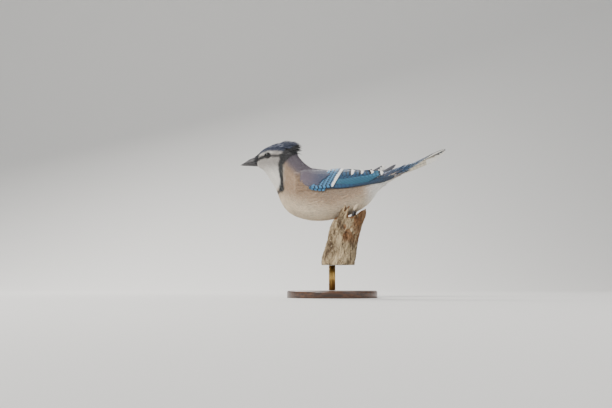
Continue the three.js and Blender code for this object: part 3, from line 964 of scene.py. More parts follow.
@dataclass
class CoatPatch:
    """Small body feathers over a stretch of the skin."""

    name: str
    start: float
    end: float
    length: float
    width: float
    row_gap: float
    column_gap: float
    lift: float
    seed: int
    low_turn: float = -math.pi
    high_turn: float = math.pi
    keep: Callable[[Array], Array] | None = None
    straight: bool = False

    stops = (0.0, 0.38, 0.74, 1.0)
    girth = (0.6, 1.0, 0.72, 0.08)
    sunk = 1.2

    def roots(self, rng: np.random.Generator) -> tuple[Array, Array]:
        """Returns the stations and angles of the feathers' roots, in staggered rows.

        Args:
            rng: Where the random numbers come from.

        Returns:
            A station and an angle for each root.
        """
        stations, turns = [], []
        t, row = self.start, 0
        span = self.high_turn - self.low_turn
        while t < self.end:
            ring = BODY.point(np.full(64, t), np.linspace(-math.pi, math.pi, 64))
            girth = np.linalg.norm(np.diff(ring, axis=0), axis=1).sum()
            count = max(6, int(girth * span / (2 * math.pi) / self.column_gap))
            across = self.low_turn + (np.arange(count) + 0.5 * (row % 2)) / count * span
            pace = BODY.frame(np.array([t]), np.array([math.pi / 2]))[3][0]
            stations.append(t + rng.uniform(-0.5, 0.5, count) * self.row_gap / pace)
            turns.append(across + rng.uniform(-0.4, 0.4, count) * span / count)
            t += self.row_gap / pace
            row += 1
        return np.concatenate(stations), np.concatenate(turns)

    def blades(self, t: Array, turn: Array, root: Array, rng: np.random.Generator) -> tuple[Array, Array]:
        """Returns the points of the feathers and the middle of each.

        Args:
            t: Stations of the roots.
            turn: Angles of the roots.
            root: The roots themselves.
            rng: Where the small differences come from.

        Returns:
            Points by feather, and a point for each feather.
        """
        n = len(t)
        along, across, normal, pace = BODY.frame(t, turn)
        length = self.length * rng.uniform(0.8, 1.2, n)
        width = self.width * rng.uniform(0.8, 1.2, n)
        sway = rng.normal(0, 0.13, n)
        lift = self.lift * (rng.uniform(0.8, 1.15, n) if self.straight else rng.uniform(0.5, 1.5, n))
        rings = []
        for s, wide in zip(self.stops, self.girth):
            height = -self.sunk * (1 - s) ** 2 + lift * s ** 1.4 - 0.2
            if self.straight:
                centre = root + along * (s * length)[:, None] + normal * height[:, None]
            else:
                reached = t + s * length / pace
                past = np.maximum(reached - BODY.last, 0) * pace
                centre = BODY.point(np.minimum(reached, BODY.last), turn, height) + along * past[:, None]
            centre = centre + across * (sway * s * length)[:, None]
            half = (wide * width / 2)[:, None]
            ridge = normal * (0.1 + 0.12 * (1 - s))
            rings.append(np.stack([centre - across * half, centre + ridge, centre + across * half], axis=1))
        return np.stack(rings, axis=1).reshape(n, -1, 3), root + along * (length * 0.55)[:, None]

    def build(self, material: bpy.types.Material, slot: str) -> bpy.types.Object:
        """Returns the patch of coat.

        Args:
            material: Its finish.
            slot: The record's material slot it stands for.

        Returns:
            The object.
        """
        rng = np.random.default_rng(self.seed)
        t, turn = self.roots(rng)
        root = BODY.point(t, turn)
        if self.keep is not None:
            kept = self.keep(root)
            t, turn, root = t[kept], turn[kept], root[kept]
        points, middle = self.blades(t, turn, root, rng)
        tint = np.repeat(PLUMAGE.tint(middle, self.seed), points.shape[1], axis=0)
        across, down = (turn / (2 * math.pi)) % 1.0, np.clip(t / BODY.last, 0.002, 0.995)
        homes = np.stack([across, down], axis=-1) * 0.996
        faces = blade_faces(len(t), len(self.stops))
        piece = Piece(self.name)
        piece.add(turned(points.reshape(-1, 3)), faces, tint, blade_uvs(homes, self.stops))
        return piece.build(material, slot)


# Flight feathers


@dataclass
class VaneLook:
    """The markings of one flight feather or covert."""

    colour: Colour
    under: Colour = Palette.GREY
    barred: float = 1.0
    white: float = 0.0
    banded: float = 0.0


class VaneSheet:
    """Flight feathers gathered in one piece, each laid on a surface as a thin closed vane."""

    columns = 9
    shown_below = 0.22  # how much of the bars shows on the lower side

    def __init__(self, name: str, lay: Callable[[Array, Array, Array], Array], cells: int) -> None:
        """Starts the sheet.

        Args:
            name: The piece's name.
            lay: Gives the place of u, v on the surface, raised by h.
            cells: How many vanes share the bake map.
        """
        self.piece = Piece(name)
        self.lay = lay
        self.across_map = math.ceil(math.sqrt(cells))
        self.count = 0

    def add(self, root: Sequence[float], tip: Sequence[float], width: float, height: float, look: VaneLook,
            bow: float = 0.0, rows: int = 30, thickness: float = 0.34, rise: float = 0.0,
            blunt: float = 0.34) -> None:
        """Adds a vane.

        Args:
            root: Where it starts on the surface.
            tip: Where it ends.
            width: Its greatest width.
            height: How far it lies above the surface.
            look: Its markings.
            bow: How far its middle is bent sideways.
            rows: Steps along it.
            thickness: Its thickness in the middle.
            rise: How much higher its tip lies than its root.
            blunt: How much of its length the rounded tip takes, less for a blunter one.
        """
        s = np.linspace(0.0, 1.0, rows) ** 0.92
        c = np.linspace(-1.0, 1.0, self.columns)
        start, end = np.array(root, float), np.array(tip, float)
        span = end - start
        length = float(np.linalg.norm(span))
        side = np.array([-span[1], span[0]]) / length
        close = np.clip((s - (1 - blunt)) / blunt, 0, 1)
        half = width / 2 * (0.5 + 0.5 * smooth(s, 0.0, 0.3)) * np.sqrt(np.maximum(1 - close ** 2.6, 0.0006))
        middle = start + span * s[:, None] + side * (4 * bow * s * (1 - s))[:, None]
        u = middle[:, 0:1] + side[0] * half[:, None] * c
        v = middle[:, 1:2] + side[1] * half[:, None] * c
        roof = thickness * (1 - 0.8 * c ** 2) + 0.16 * np.exp(-((c / 0.14) ** 2))
        lift = height + rise * s[:, None] + 0 * c
        layers = [self.lay(u, v, lift + roof), self.lay(u, v, lift - 0.03)]
        points = np.concatenate([layer.reshape(-1, 3) for layer in layers])
        away, over = np.repeat(length * (1 - s), len(c)), np.tile(c, rows)
        barb = away + np.abs(over) * width * 0.55
        tint = np.repeat([look.colour, look.under], len(away), axis=0)
        shown = np.repeat([1.0, self.shown_below], len(away))
        self.piece.add(
            turned(points), sheet_faces(rows, len(c)), tint, self.next_cell(over, 1 - away / length),
            from_tip=np.tile(away, 2), across=np.tile(over, 2), barb=np.tile(barb, 2),
            barred=look.barred * shown, white=look.white, banded=look.banded * shown,
        )

    def next_cell(self, across: Array, down: Array) -> Array:
        """Returns bake map places for a vane's two sides, in the next free cell of the map.

        Args:
            across: Places across the vane, from -1 to 1.
            down: Places along it, from 0 to 1.

        Returns:
            A place for each point of the upper and then of the lower side.
        """
        cell = np.array([self.count % self.across_map, self.count // self.across_map])
        self.count += 1
        flat = np.stack([(across + 1) * 0.235 + 0.01, 0.02 + 0.96 * down], axis=-1)
        both = np.concatenate([flat, flat + np.array([0.5, 0.0])])
        return (cell + both) / self.across_map


@dataclass
class WingForm:
    """The surface that a folded wing lies on."""

    side: Side
    clear: float = 1.1
    rear_half_gap: float = 9.5
    tail_bend: float = 0.42
    bend_start: float = 46.0

    def out_at(self, u: Array, v: Array) -> Array:
        """Returns how far the wing's bed stands out from the middle.

        Args:
            u: Places along the bird.
            v: Heights.

        Returns:
            Half widths.
        """
        flank = BODY.flank(u, np.minimum(v, 176.0))
        least = 1.6 + (self.rear_half_gap - 1.6) * smooth(u, 10, 74)
        return 0.5 * (flank + least + np.hypot(flank - least, 3.0))

    def lay(self, u: Array, v: Array, h: Array) -> Array:
        """Returns places of the wing's bed, raised by h.

        Args:
            u: Places along the bird.
            v: Heights.
            h: How far above the bed.

        Returns:
            Rows of x, y, z.
        """
        u, v, h = np.broadcast_arrays(u, v, h)
        z = v + self.tail_bend * np.maximum(0, u - self.bend_start) if self.side is Side.RIGHT else v
        e = 3.0
        slope_u = (self.out_at(u + e, z) - self.out_at(u - e, z)) / (2 * e)
        slope_v = (self.out_at(u, z + e) - self.out_at(u, z - e)) / (2 * e)
        normal = unit(np.stack([-slope_u, np.ones_like(slope_u), -slope_v], axis=-1))
        point = np.stack([u, self.out_at(u, z), z], axis=-1) + normal * (self.clear + h)[..., None]
        point[..., 1] = self.side.value * np.maximum(point[..., 1], 0.6)
        return point


@dataclass
class Wing:
    """One folded wing with its tiers of feathers."""

    side: Side
    step: float = 0.17
    primaries: int = 8
    secondaries: int = 6
    tertials: tuple = (((4, 162.5), (60, 171)), ((3, 164.5), (46, 170.5)), ((2, 166), (33, 169.5)))
    coverts: int = 9
    wrist: int = 6

    def add_primaries(self, sheet: VaneSheet) -> None:
        """Adds the long dark feathers of the wing's tip.

        Args:
            sheet: The sheet that gets them.
        """
        for i, f in enumerate(shares(self.primaries)):
            colour = tuple(blend(np.array(Palette.DUSK), Palette.BLUE, 0.15 + 0.75 * f))
            look = VaneLook(colour, barred=0.06 + 0.3 * f)
            root, tip = (-6 + 6 * f, 149.5 + 4 * f), (88 - 50 * f, 166 - 8.2 * f)
            sheet.add(root, tip, 8 + 2 * f, self.step * i, look, bow=-2.6 + f, blunt=0.3)

    def add_secondaries(self, sheet: VaneSheet) -> None:
        """Adds the blue feathers with white tips, and the three broad ones that cover them.

        Args:
            sheet: The sheet that gets them.
        """
        level = self.step * self.primaries
        for i, f in enumerate(shares(self.secondaries)):
            colour = tuple(blend(np.array(Palette.TEAL), Palette.SKY, 0.25 * f))
            look = VaneLook(colour, barred=0.16 + 0.3 * f, white=2.2 + 2.2 * f, banded=0.8)
            root, tip = (3 * f, 155 + 7 * f), (58 + 15 * f, 162.5 + 7.5 * f)
            sheet.add(root, tip, 9.3, level + self.step * i, look, bow=-1, blunt=0.16)
        level += self.step * self.secondaries + 0.15
        for i, (root, tip) in enumerate(self.tertials):
            look = VaneLook(Palette.BLUE, barred=0.8, white=4.6, banded=1.0)
            sheet.add(root, tip, 10.4, level + (self.step + 0.08) * i, look, blunt=0.24)

    def add_coverts(self, sheet: VaneSheet) -> None:
        """Adds the short feathers of the wrist and the row of barred coverts with white tips.

        Args:
            sheet: The sheet that gets them.
        """
        rng = np.random.default_rng(31 + self.side.value)
        for i, f in enumerate(shares(self.wrist)):
            root, tip = (-27 + 5 * f, 149.5 + 8 * f), (-4 + 5 * f, 146.8 + 6 * f)
            sheet.add(root, tip, 6.2, 1.4 + 0.14 * i, VaneLook(Palette.SKY), rows=18)
        for i, f in enumerate(shares(self.coverts)):
            look = VaneLook(Palette.SKY, white=4.2 + rng.uniform(-0.5, 0.5))
            root, tip = (-24 + 20 * f, 150 + 17.5 * f), (7.5 + 10 * f, 153 + 18 * f)
            sheet.add(root, tip, 7.4, 2.9 + 0.1 * i, look, rows=20, blunt=0.22, rise=0.4)

    def build(self) -> bpy.types.Object:
        """Builds the wing's flight feathers and coverts as one piece.

        Returns:
            The object, which takes the place of the wing's node.
        """
        name = f"wing_{self.side.name.lower()}"
        sheet = VaneSheet(f"{name}_vanes", WingForm(self.side).lay, 49)
        self.add_primaries(sheet)
        self.add_secondaries(sheet)
        self.add_coverts(sheet)
        return sheet.piece.build(VaneFinish(f"{name}_vanes").make(), "blue_feathers", [name])


@dataclass
class WingShoulder:
    """The small coverts and scapulars that cover the front of the folded wing."""

    side: Side
    front: float = -39.0
    reach: float = 59.0
    length: float = 7.0
    width: float = 2.3
    feathers: int = 2600

    stops = (0.0, 0.35, 0.7, 1.0)
    girth = (0.5, 1.0, 0.8, 0.14)

    def along(self, s: Array) -> Array:
        """Returns how far along the bird a share of the shoulder lies."""
        return self.front + self.reach * s

    def outline(self, s: Array) -> tuple[Array, Array]:
        """Returns the middle and half width of the shoulder, from its front to its rear.

        Args:
            s: Places from the front, 0, to the rear, 1.

        Returns:
            The middle heights and the half widths.
        """
        middle = 165 - 3.5 * s - 5 * np.sin(math.pi * s)
        half = 3 + 9.5 * np.sqrt(np.sin(math.pi * np.clip(0.06 + 0.72 * s, 0, 1)))
        return middle, half

    def lower_edge(self, s: Array) -> Array:
        """Returns how low the shoulder's feathers reach."""
        return np.interp(self.along(s), [-39, -30, -20, 0], [158.5, 150.8, 149.2, 149.0])

    def crown_at(self, s: Array, c: Array) -> Array:
        """Returns how high the shoulder's surface lies."""
        return 0.5 + (4.6 - 2.6 * c ** 2) * np.sin(math.pi * np.clip(0.04 + 0.86 * s, 0, 1)) ** 0.6

    def bed(self, form: WingForm) -> tuple[Array, Array]:
        """Returns the thin bed under the feathers.

        Args:
            form: The surface of the folded wing.

        Returns:
            Its points and its faces.
        """
        s, c = np.meshgrid(np.linspace(0.0, 0.62, 26), np.linspace(-1, 1, 17), indexing="ij")
        middle, half = self.outline(s)
        across = np.maximum(middle + half * c, self.lower_edge(s) + 1.6)
        along = np.minimum(self.along(s), across - 170.0)
        upper = form.lay(along, across, self.crown_at(s, c) - 0.8)
        lower = form.lay(along, across, np.zeros_like(s) - 0.3)
        return closed_tube(np.concatenate([upper, lower[:, ::-1]], axis=1))

    def roots(self, rng: np.random.Generator) -> tuple[Array, Array]:
        """Returns where the feathers are rooted, those at the rear first.

        Args:
            rng: Where the random numbers come from.

        Returns:
            Places along the shoulder, and places across it.
        """
        s = rng.uniform(-0.03, 0.64, self.feathers)
        c = rng.uniform(-1.05, 1.05, self.feathers)
        middle, half = self.outline(s)
        across = middle + half * c
        foremost = across - 171.0 + 5 * smooth(across, 160, 169)
        kept = (across > self.lower_edge(s)) & (self.along(s) < foremost)
        s, c = s[kept], c[kept]
        order = np.argsort(-s)
        return s[order], c[order]

    def blades(self, s: Array, c: Array, form: WingForm, rng: np.random.Generator) -> Array:
        """Returns the feathers' points.

        Args:
            s: Places of the roots along the shoulder.
            c: Places of the roots across it.
            form: The surface of the folded wing.
            rng: Where the random numbers come from.

        Returns:
            Rows of x, y, z by feather.
        """
        count = len(s)
        rows = np.array(self.stops)
        middle, half = self.outline(s)
        size = (self.length * (0.6 + 0.6 * np.clip(s, 0, 1)) * rng.uniform(0.85, 1.2, count))[:, None]
        slant = (0.1 * (1 - s) + rng.normal(0, 0.06, count))[:, None]
        u = self.along(s)[:, None] + size * rows * 0.98
        v = (middle + half * c)[:, None] + size * rows * slant
        here = np.clip((u - self.front) / self.reach, 0, 1)
        height = self.crown_at(here, np.clip(c, -1, 1)[:, None]) + 0.5 * rows - 0.6
        wide = (self.width * rng.uniform(0.8, 1.15, count))[:, None] / 2 * np.array(self.girth)
        left = form.lay(u, v - wide, height - 0.2)
        top = form.lay(u, v, height + 0.12)
        right = form.lay(u, v + wide, height - 0.2)
        return np.stack([left, top, right], axis=2).reshape(count, -1, 3)

    def tint(self, points: Array, seed: int) -> Array:
        """Returns the shoulder's colour: the mantle's grey turning blue to the rear.

        Args:
            points: Rows of x, y, z.
            seed: Seed of the small differences.

        Returns:
            A colour for each point.
        """
        rng = np.random.default_rng(seed)
        base = np.tile(Palette.MANTLE, (len(points), 1))
        share = smooth(points[:, 0] + rng.normal(0, 2, len(points)), -34, -6)
        slate = tuple(blend(np.array(Palette.CROWN), Palette.BLUE, 0.4))
        return blend(base, slate, share * 0.75) * (1 + rng.normal(0, 0.05, len(points)))[:, None]

    def build(self, material: bpy.types.Material) -> bpy.types.Object:
        """Builds the shoulder's feathers, over their thin bed.

        Args:
            material: Its finish.

        Returns:
            The object.
        """
        form = WingForm(self.side)
        rng = np.random.default_rng(77 + self.side.value)
        piece = Piece(f"wing_{self.side.name.lower()}_shoulder")
        points, faces = self.bed(form)
        piece.add(turned(points), faces, self.tint(points, 3), np.full((len(points), 2), 0.5))
        s, c = self.roots(rng)
        blades = self.blades(s, c, form, rng)
        per = blades.shape[1]
        tint = np.repeat(self.tint(blades[:, per // 2], 5), per, axis=0)
        homes = np.stack([0.02 + 0.95 * np.clip(s / 0.65, 0, 1), 0.02 + 0.47 * (c + 1.05)], axis=-1) * 0.98
        faces = blade_faces(len(s), len(self.stops))
        piece.add(turned(blades.reshape(-1, 3)), faces, tint, blade_uvs(homes, self.stops))
        return piece.build(material, "blue_feathers")


# The tail


@dataclass
class TailForm:
    """The surface that the tail lies on: a roof that flattens and rolls over towards its tip."""

    root_x: float = 77.6
    root_z: float = 166.5
    length: float = 86.0
    pitch: float = math.radians(21.5)
    roll: float = math.radians(9)
    root_roof: float = 0.66
    tip_roof: float = 0.1

    def lay(self, u: Array, v: Array, h: Array) -> Array:
        """Returns places of the tail's surface.

        Args:
            u: Distances from the tail's root.
            v: Distances across it, positive to the right.
            h: Heights above it.

        Returns:
            Rows of x, y, z in the bird's frame.
        """
        u, v, h = np.broadcast_arrays(u, v, h)
        f = u / self.length
        roof = self.root_roof + (self.tip_roof - self.root_roof) * smooth(f, 0.1, 0.95)
        roll = self.roll * smooth(f, 0.15, 0.9)
        fall = (np.hypot(v, 2.5) - 2.5) * np.sin(roof)
        y, up = v * np.cos(roof), h - fall
        across = y * np.cos(roll) + up * np.sin(roll)
        rise = up * np.cos(roll) - y * np.sin(roll)
        x = self.root_x + u * math.cos(self.pitch) - rise * math.sin(self.pitch)
        z = self.root_z + u * math.sin(self.pitch) + rise * math.cos(self.pitch)
        return np.stack([x, across, z], axis=-1)


@dataclass
class Tail:
    """Twelve tail feathers, the middle pair on top."""

    shorter: tuple = (0, 1, 2.5, 5, 8.5, 13)
    white: tuple = (0.0, 2.0, 3.0, 5.0, 9.0, 18.0)
    pale: Colour = linear(214, 204, 182)
    width: float = 14.5
    top: float = 4.6
    step: float = 0.21

    def build(self) -> bpy.types.Object:
        """Builds the tail, which takes the place of its node.

        Returns:
            The object.
        """
        form = TailForm()
        sheet = VaneSheet("tail_vanes", form.lay, 2 * len(self.shorter))
        for i, (trim, white) in enumerate(zip(self.shorter, self.white)):
            under = tuple(blend(np.array(Palette.DUSK), self.pale, smooth(i, 2.4, 4.6)))
            look = VaneLook(Palette.BLUE, under, barred=0.9, white=white, banded=0.4)
            for side in Side:
                s = side.value
                height = self.top - self.step * (2 * i + (side is Side.RIGHT))
                root, tip = (3, s * (0.6 + 0.62 * i)), (form.length - trim, s * (1.8 + 2.25 * i))
                sheet.add(root, tip, self.width, height, look,
                          bow=-s * 0.7, rows=46, thickness=0.42, blunt=0.2)
        return sheet.piece.build(VaneFinish("tail_vanes").make(), "blue_feathers", ["tail"])


# Head, bill and feet


def tube(path: Array, radii: Array, columns: int, up: Sequence[float] = (0, 0, 1)) -> tuple[Array, Array]:
    """Returns a closed tube round a path.

    Args:
        path: Rows of x, y, z.
        radii: A radius for each row.
        columns: Points round it.
        up: A direction that the path never takes.

    Returns:
        Its points and its faces.
    """
    along = unit(np.gradient(path, axis=0))
    side = unit(np.cross(along, np.broadcast_to(np.asarray(up, float), along.shape)))
    top = np.cross(side, along)
    turn = (2 * math.pi * np.arange(columns) / columns)[None, :, None]
    out = side[:, None] * np.cos(turn) + top[:, None] * np.sin(turn)
    return closed_tube(path[:, None] + out * np.reshape(radii, (len(path), -1, 1)))


@dataclass
class Eye:
    """An eyeball in its socket with its two lids."""

    side: Side
    radius: float = 4.3
    proud: float = 1.7

    def on_ball(self, tilt: Array | float, turn: Array | float, grow: Array | float = 0.0) -> Array:
        """Returns points at a tilt from straight out and a turn round that line.

        Args:
            tilt: Angles from the line straight out.
            turn: Angles round that line.
            grow: How far outside the ball.

        Returns:
            Rows of x, y, z.
        """
        flank = float(BODY.flank(np.array([EYE_X]), np.array([EYE_Z]))[0])
        s = self.side.value
        centre = np.array([EYE_X, s * (flank - self.radius + self.proud), EYE_Z])
        tilt, turn = np.broadcast_arrays(tilt, turn)
        ring = np.sin(tilt)
        away = np.stack([ring * np.cos(turn), s * np.cos(tilt), ring * np.sin(turn)], axis=-1)
        return centre + away * (self.radius + np.asarray(grow)[..., None] * np.ones_like(away))

    def build_ball(self) -> bpy.types.Object:
        """Returns the eyeball.

        Returns:
            The object.
        """
        name = f"eye_{self.side.name.lower()}"
        tilt = np.linspace(0.02, math.pi - 0.02, 48)[:, None]
        turn = (2 * math.pi * np.arange(72) / 72)[None]
        points, faces = closed_tube(self.on_ball(tilt, turn))
        piece = Piece(f"{name}_ball")
        iris = np.append(np.broadcast_to(tilt, (48, 72)).ravel() / (math.pi / 2), [0.0, 2.0])
        piece.add(turned(points), faces, iris=iris)
        return piece.build(EyeFinish(f"{name}_gloss").make(), "eye", [name])

    def add_lids(self, piece: Piece) -> None:
        """Adds both lids to a piece of bare skin."""
        for start, end in ((-0.12, math.pi + 0.12), (math.pi - 0.12, 2 * math.pi + 0.12)):
            turn = np.linspace(start, end, 48)
            tilt = math.radians(54) * (1 - 0.14 * np.sin(turn) ** 2)
            path = self.on_ball(tilt, turn, 0.08)
            radii = 0.16 + 0.14 * np.sqrt(np.abs(np.sin(turn)))
            points, faces = tube(path, radii, 12, (0, 1, 0))
            piece.add(turned(points), faces)

    def add_fringe(self, piece: Piece, rng: np.random.Generator) -> None:
        """Adds the shortest feathers, which close up to the lids."""
        for turn in rng.uniform(0, 2 * math.pi, 260):
            tilt = rng.uniform(0.98, 1.2)
            root = self.on_ball(tilt, turn, -0.3)
            aim = self.on_ball(tilt + 0.1, turn) - self.on_ball(tilt, turn)
            out = np.array([0.0, self.side.value * 0.35, 0.0])
            aim = unit(unit(aim) * 0.7 + np.array([0.75, 0.0, 0.0]) + out)
            path = root + aim * rng.uniform(1.2, 2.2) * np.linspace(0, 1, 4)[:, None]
            points, faces = tube(path, np.array([0.2, 0.3, 0.22, 0.04]), 3, (0.1, 0.2, 1))
            home = np.array([[0.25 + 0.01 * tilt, 0.17 + 0.001 * turn]])
            uv = home + np.linspace(0, PATCH, len(points))[:, None]
            piece.add(turned(points), faces, PLUMAGE.tint(root[None], int(turn * 1000))[0], uv)


@dataclass
class Bill:
    """The two halves of the bill, with the gape line between them."""

    length: float = 24.0
    root: tuple = (-105.4, 190.0)
    root_height: float = 13.0
    root_half_width: float = 4.9
    tip_z: float = 184.6
    gape_drop: float = 2.2
    gap: float = 0.3
    sunk: float = 1.6

    def rings(self, upper: bool) -> Array:
        """Returns rings of points from the root of one half to its tip.

        Args:
            upper: Whether it is the upper half.

        Returns:
            Points by row, column and axis.
        """
        sign = 1 if upper else -1
        reach = (self.length if upper else self.length - 1.6) + self.sunk
        s = np.linspace(0, 1, 64)[:, None]
        arc = np.linspace(0, 1, 33)[None]
        bulge = np.sin(math.pi * s)
        tip = self.tip_z - (0.2 if upper else 0.1)
        edge = (self.root[1] - self.gape_drop) * (1 - s) + tip * s + 0.5 * bulge + sign * self.gap / 2
        depth = (0.64 if upper else 0.36) * self.root_height * (1 - s ** 1.25 * 0.94)
        depth = depth * (1 + (0.22 if upper else 0) * bulge)
        half = self.root_half_width * (1 - s ** 1.1 * 0.9)
        keel = 1 + 0.06 * np.exp(-((arc - 0.5) / 0.08) ** 2)
        groove = 0.35 * np.exp(-((arc - 0.27) / 0.05) ** 2) + 0.35 * np.exp(-((arc - 0.73) / 0.05) ** 2)
        cut = groove * (1 - s) ** 2 * (1.4 if upper else 0.4)
        x = self.root[0] + self.sunk - reach * s
        y = -half * np.cos(math.pi * arc)
        z = edge + sign * (depth * np.abs(np.sin(math.pi * arc)) ** 0.8 * keel - cut)
        outer = np.stack([x + 0 * arc, y, z], axis=-1)
        flat = np.linspace(1, 0, 13)[None, 1:-1]
        inner_z = edge + sign * 0.25 * half / self.root_half_width * np.sin(math.pi * flat)
        inner = np.stack([x + 0 * flat, -half * np.cos(math.pi * flat), inner_z], axis=-1)
        return np.concatenate([outer, inner], axis=1)

    def half(self, upper: bool) -> bpy.types.Object:
        """Builds the upper or the lower half.

        Args:
            upper: Whether it is the upper half.

        Returns:
            The object, which takes the place of its node.
        """
        name = "bill_upper" if upper else "bill_lower"
        points, faces = closed_tube(self.rings(upper))
        piece = Piece(f"{name}_horn")
        piece.add(turned(points), faces)
        return piece.build(HornFinish(f"{name}_horn").make(), "horn", [name])


@dataclass
class Bristles:
    """Short stiff feathers that lie forward over the bill's root and nostrils."""

    count: int = 260
    seed: int = 12

    def build(self, material: bpy.types.Material) -> bpy.types.Object:
        """Returns the bristles.

        Args:
            material: Their finish.

        Returns:
            The object.
        """
        rng = np.random.default_rng(self.seed)
        piece = Piece("nasal_bristles")
        for _ in range(self.count):
            turn = rng.uniform(-1.75, 1.75)
            root = BODY.point(np.array(rng.uniform(0.0, 0.75)), np.array(turn), -0.4)
            reach = rng.uniform(3.4, 6.8) * (0.65 if abs(turn) < 0.5 else 1.0)
            fall = rng.uniform(-0.34, -0.1) - 0.25 * abs(math.cos(turn))
            aim = unit(np.array([-1.0, -math.sin(turn) * rng.uniform(-0.12, 0.16), fall]))
            s = np.linspace(0, 1, 5)[:, None]
            path = root + aim * reach * s + np.array([0, 0, -0.7]) * s ** 2
            points, faces = tube(path, np.array([0.26, 0.34, 0.28, 0.17, 0.03]), 4)
            tint = Palette.BLACK if rng.random() < 0.8 else Palette.DUSK
            home = np.array([[(turn / (2 * math.pi)) % 1.0 * 0.99, 0.003]])
            uv = home + np.linspace(0, PATCH, len(points))[:, None]
            piece.add(turned(points), faces, np.array(tint), uv)
        return piece.build(material, "head_feathers")


@dataclass
class Leg:
    """A tarsus, its toes and its claws."""

    side: Side
    radius: float = 1.45
    lean: float = 5.0
    height: float = 18.0
    toes: tuple = (
        (math.pi, 13.0, 5.0), (math.pi - 0.42, 11.2, 5.0), (math.pi + 0.42, 11.7, 5.0), (0.0, 7.0, 4.0),
    )

    @property
    def sole(self) -> Array:
        """Where the toes meet, on the floor of the branch's broken end."""
        return np.array([LEG_X, LEG_Y[self.side], FLOOR_Z + FLOOR_SLOPE * (LEG_X - FLOOR_X) + 0.3])

    def add_toe(self, toes: Piece, claws: Piece, turn: float, length: float, hook: float) -> None:
        """Adds a toe with its claw.

        Args:
            toes: The piece of toes.
            claws: The piece of claws.
            turn: Where it points, 0 to the rear.
            length: How long the toe is.
            hook: How far the claw reaches.
        """
        flat = np.array([math.cos(turn), math.sin(turn), FLOOR_SLOPE * math.cos(turn)])
        aim = flat / np.linalg.norm(flat)
        up = np.array([0, 0, 1])
        s = np.linspace(0, 1, 60)
        lift = self.radius + 0.1 + 0.7 * np.sin(math.pi * s)
        path = self.sole + aim * (length * s - 0.5)[:, None] + up * lift[:, None]
        scales = 0.05 * (np.sin(26 * math.pi * s) > 0.55)
        pads = 1 - 0.12 * s + 0.07 * np.abs(np.sin(3 * math.pi * s)) - scales
        points, faces = tube(path, self.radius * 0.9 * pads, 24)
        toes.add(turned(points), faces)
        c = np.linspace(0, 1, 24)[:, None]
        out = aim * (hook + 0.4) * np.sin(c * 1.25) / math.sin(1.25)
        claw = path[-1] - aim * 0.6 + out + up * (1.2 * c - 2.7 * c ** 2.2)
        points, faces = tube(claw, 1.02 * (1 - 0.93 * c[:, 0] ** 0.85), 14)
        claws.add(turned(points), faces)

    def build(self) -> None:
        """Adds the toes, the claws and the tarsus."""
        name = self.side.name.lower()
        toes, claws, shin = Piece(f"toes_{name}"), Piece(f"claws_{name}"), Piece(f"tarsus_{name}")
        for turn, length, hook in self.toes:
            self.add_toe(toes, claws, turn, length, hook)
        s = np.linspace(0, 1, 80)
        rise = np.array([self.lean, -0.17 * LEG_Y[self.side], self.height])
        path = self.sole + np.array([0.4, 0, 2.4]) + rise * s[:, None]
        scutes = 0.06 * (np.sin(22 * math.pi * s) > -0.3)
        girth = 1.62 + 0.35 * np.exp(-(s / 0.12) ** 2) + 0.4 * smooth(s, 0.72, 1.0) - scutes
        points, faces = tube(path, girth, 28, (1, 0, 0))
        shin.add(turned(points), faces)
        toes.build(LegFinish(f"toes_{name}_scales").make(), "leg_scales", [f"foot_{name}"])
        claws.build(HornFinish(f"claws_{name}_horn").make(), "horn")
        shin.build(LegFinish(f"tarsus_{name}_scales").make(), "leg_scales", [f"leg_{name}"])


@dataclass
class Thighs:
    """Short feathers that come down over the upper end of each tarsus."""

    count: int = 480
    top_x: float = 35.0
    top_z: float = 127.5
    seed: int = 44

    def build(self, material: bpy.types.Material) -> bpy.types.Object:
        """Builds the feathers of both legs.

        Args:
            material: Their finish.

        Returns:
            The object.
        """
        rng = np.random.default_rng(self.seed)
        piece = Piece("thigh_feathers")
        s = np.linspace(0, 1, 5)[:, None]
        for y in LEG_Y.values():
            top, lean = np.array([self.top_x, y * 0.84, self.top_z]), np.array([0.27, -0.008 * y, 1.0])
            for turn in rng.uniform(0, 2 * math.pi, self.count):
                high = rng.uniform(0.0, 6.0)
                wide = (2.5 + 0.3 * high) * rng.uniform(0.8, 1.1)
                level = high - rng.uniform(6.0, 10.5) * s
                ring = np.array([math.cos(turn), math.sin(turn), 0.0])
                path = top + lean * level + ring * (wide + (1.9 - wide) * s ** 1.2 * 0.85)
                points, faces = tube(path, np.array([0.25, 0.38, 0.34, 0.2, 0.03]), 4, (0.3, 1, 0))
                tint = PLUMAGE.tint(path[2:3], int(turn * 1000))[0]
                uv = np.array([[0.4 + 0.01 * turn, 0.78]]) + np.linspace(0, PATCH, len(points))[:, None]
                piece.add(turned(points), faces, tint, uv)
        return piece.build(material, "body_feathers")


# The branch end and the stand


def ripple(points: Array, size: float, seed: int, stretch: float = 1.0, octaves: int = 4) -> Array:
    """Returns smooth noise from -1 to 1 in space.

    Args:
        points: Rows of x, y, z.
        size: Length of its largest waves.
        seed: Seed of its waves.
        stretch: How much longer its waves are along Z.
        octaves: How many halvings it has.

    Returns:
        A number for each point.
    """
    rng = np.random.default_rng(seed)
    total = np.zeros(points.shape[:-1])
    weight = 1.0
    scaled = points * np.array([1, 1, 1 / stretch])
    for _ in range(octaves):
        waves = unit(rng.normal(size=(5, 3))) * 2 * math.pi / size
        phases = rng.uniform(0, 2 * math.pi, 5)
        total += weight * np.sin(scaled @ waves.T + phases).mean(axis=-1) * 1.5
        size *= 0.52
        weight *= 0.55
    return total


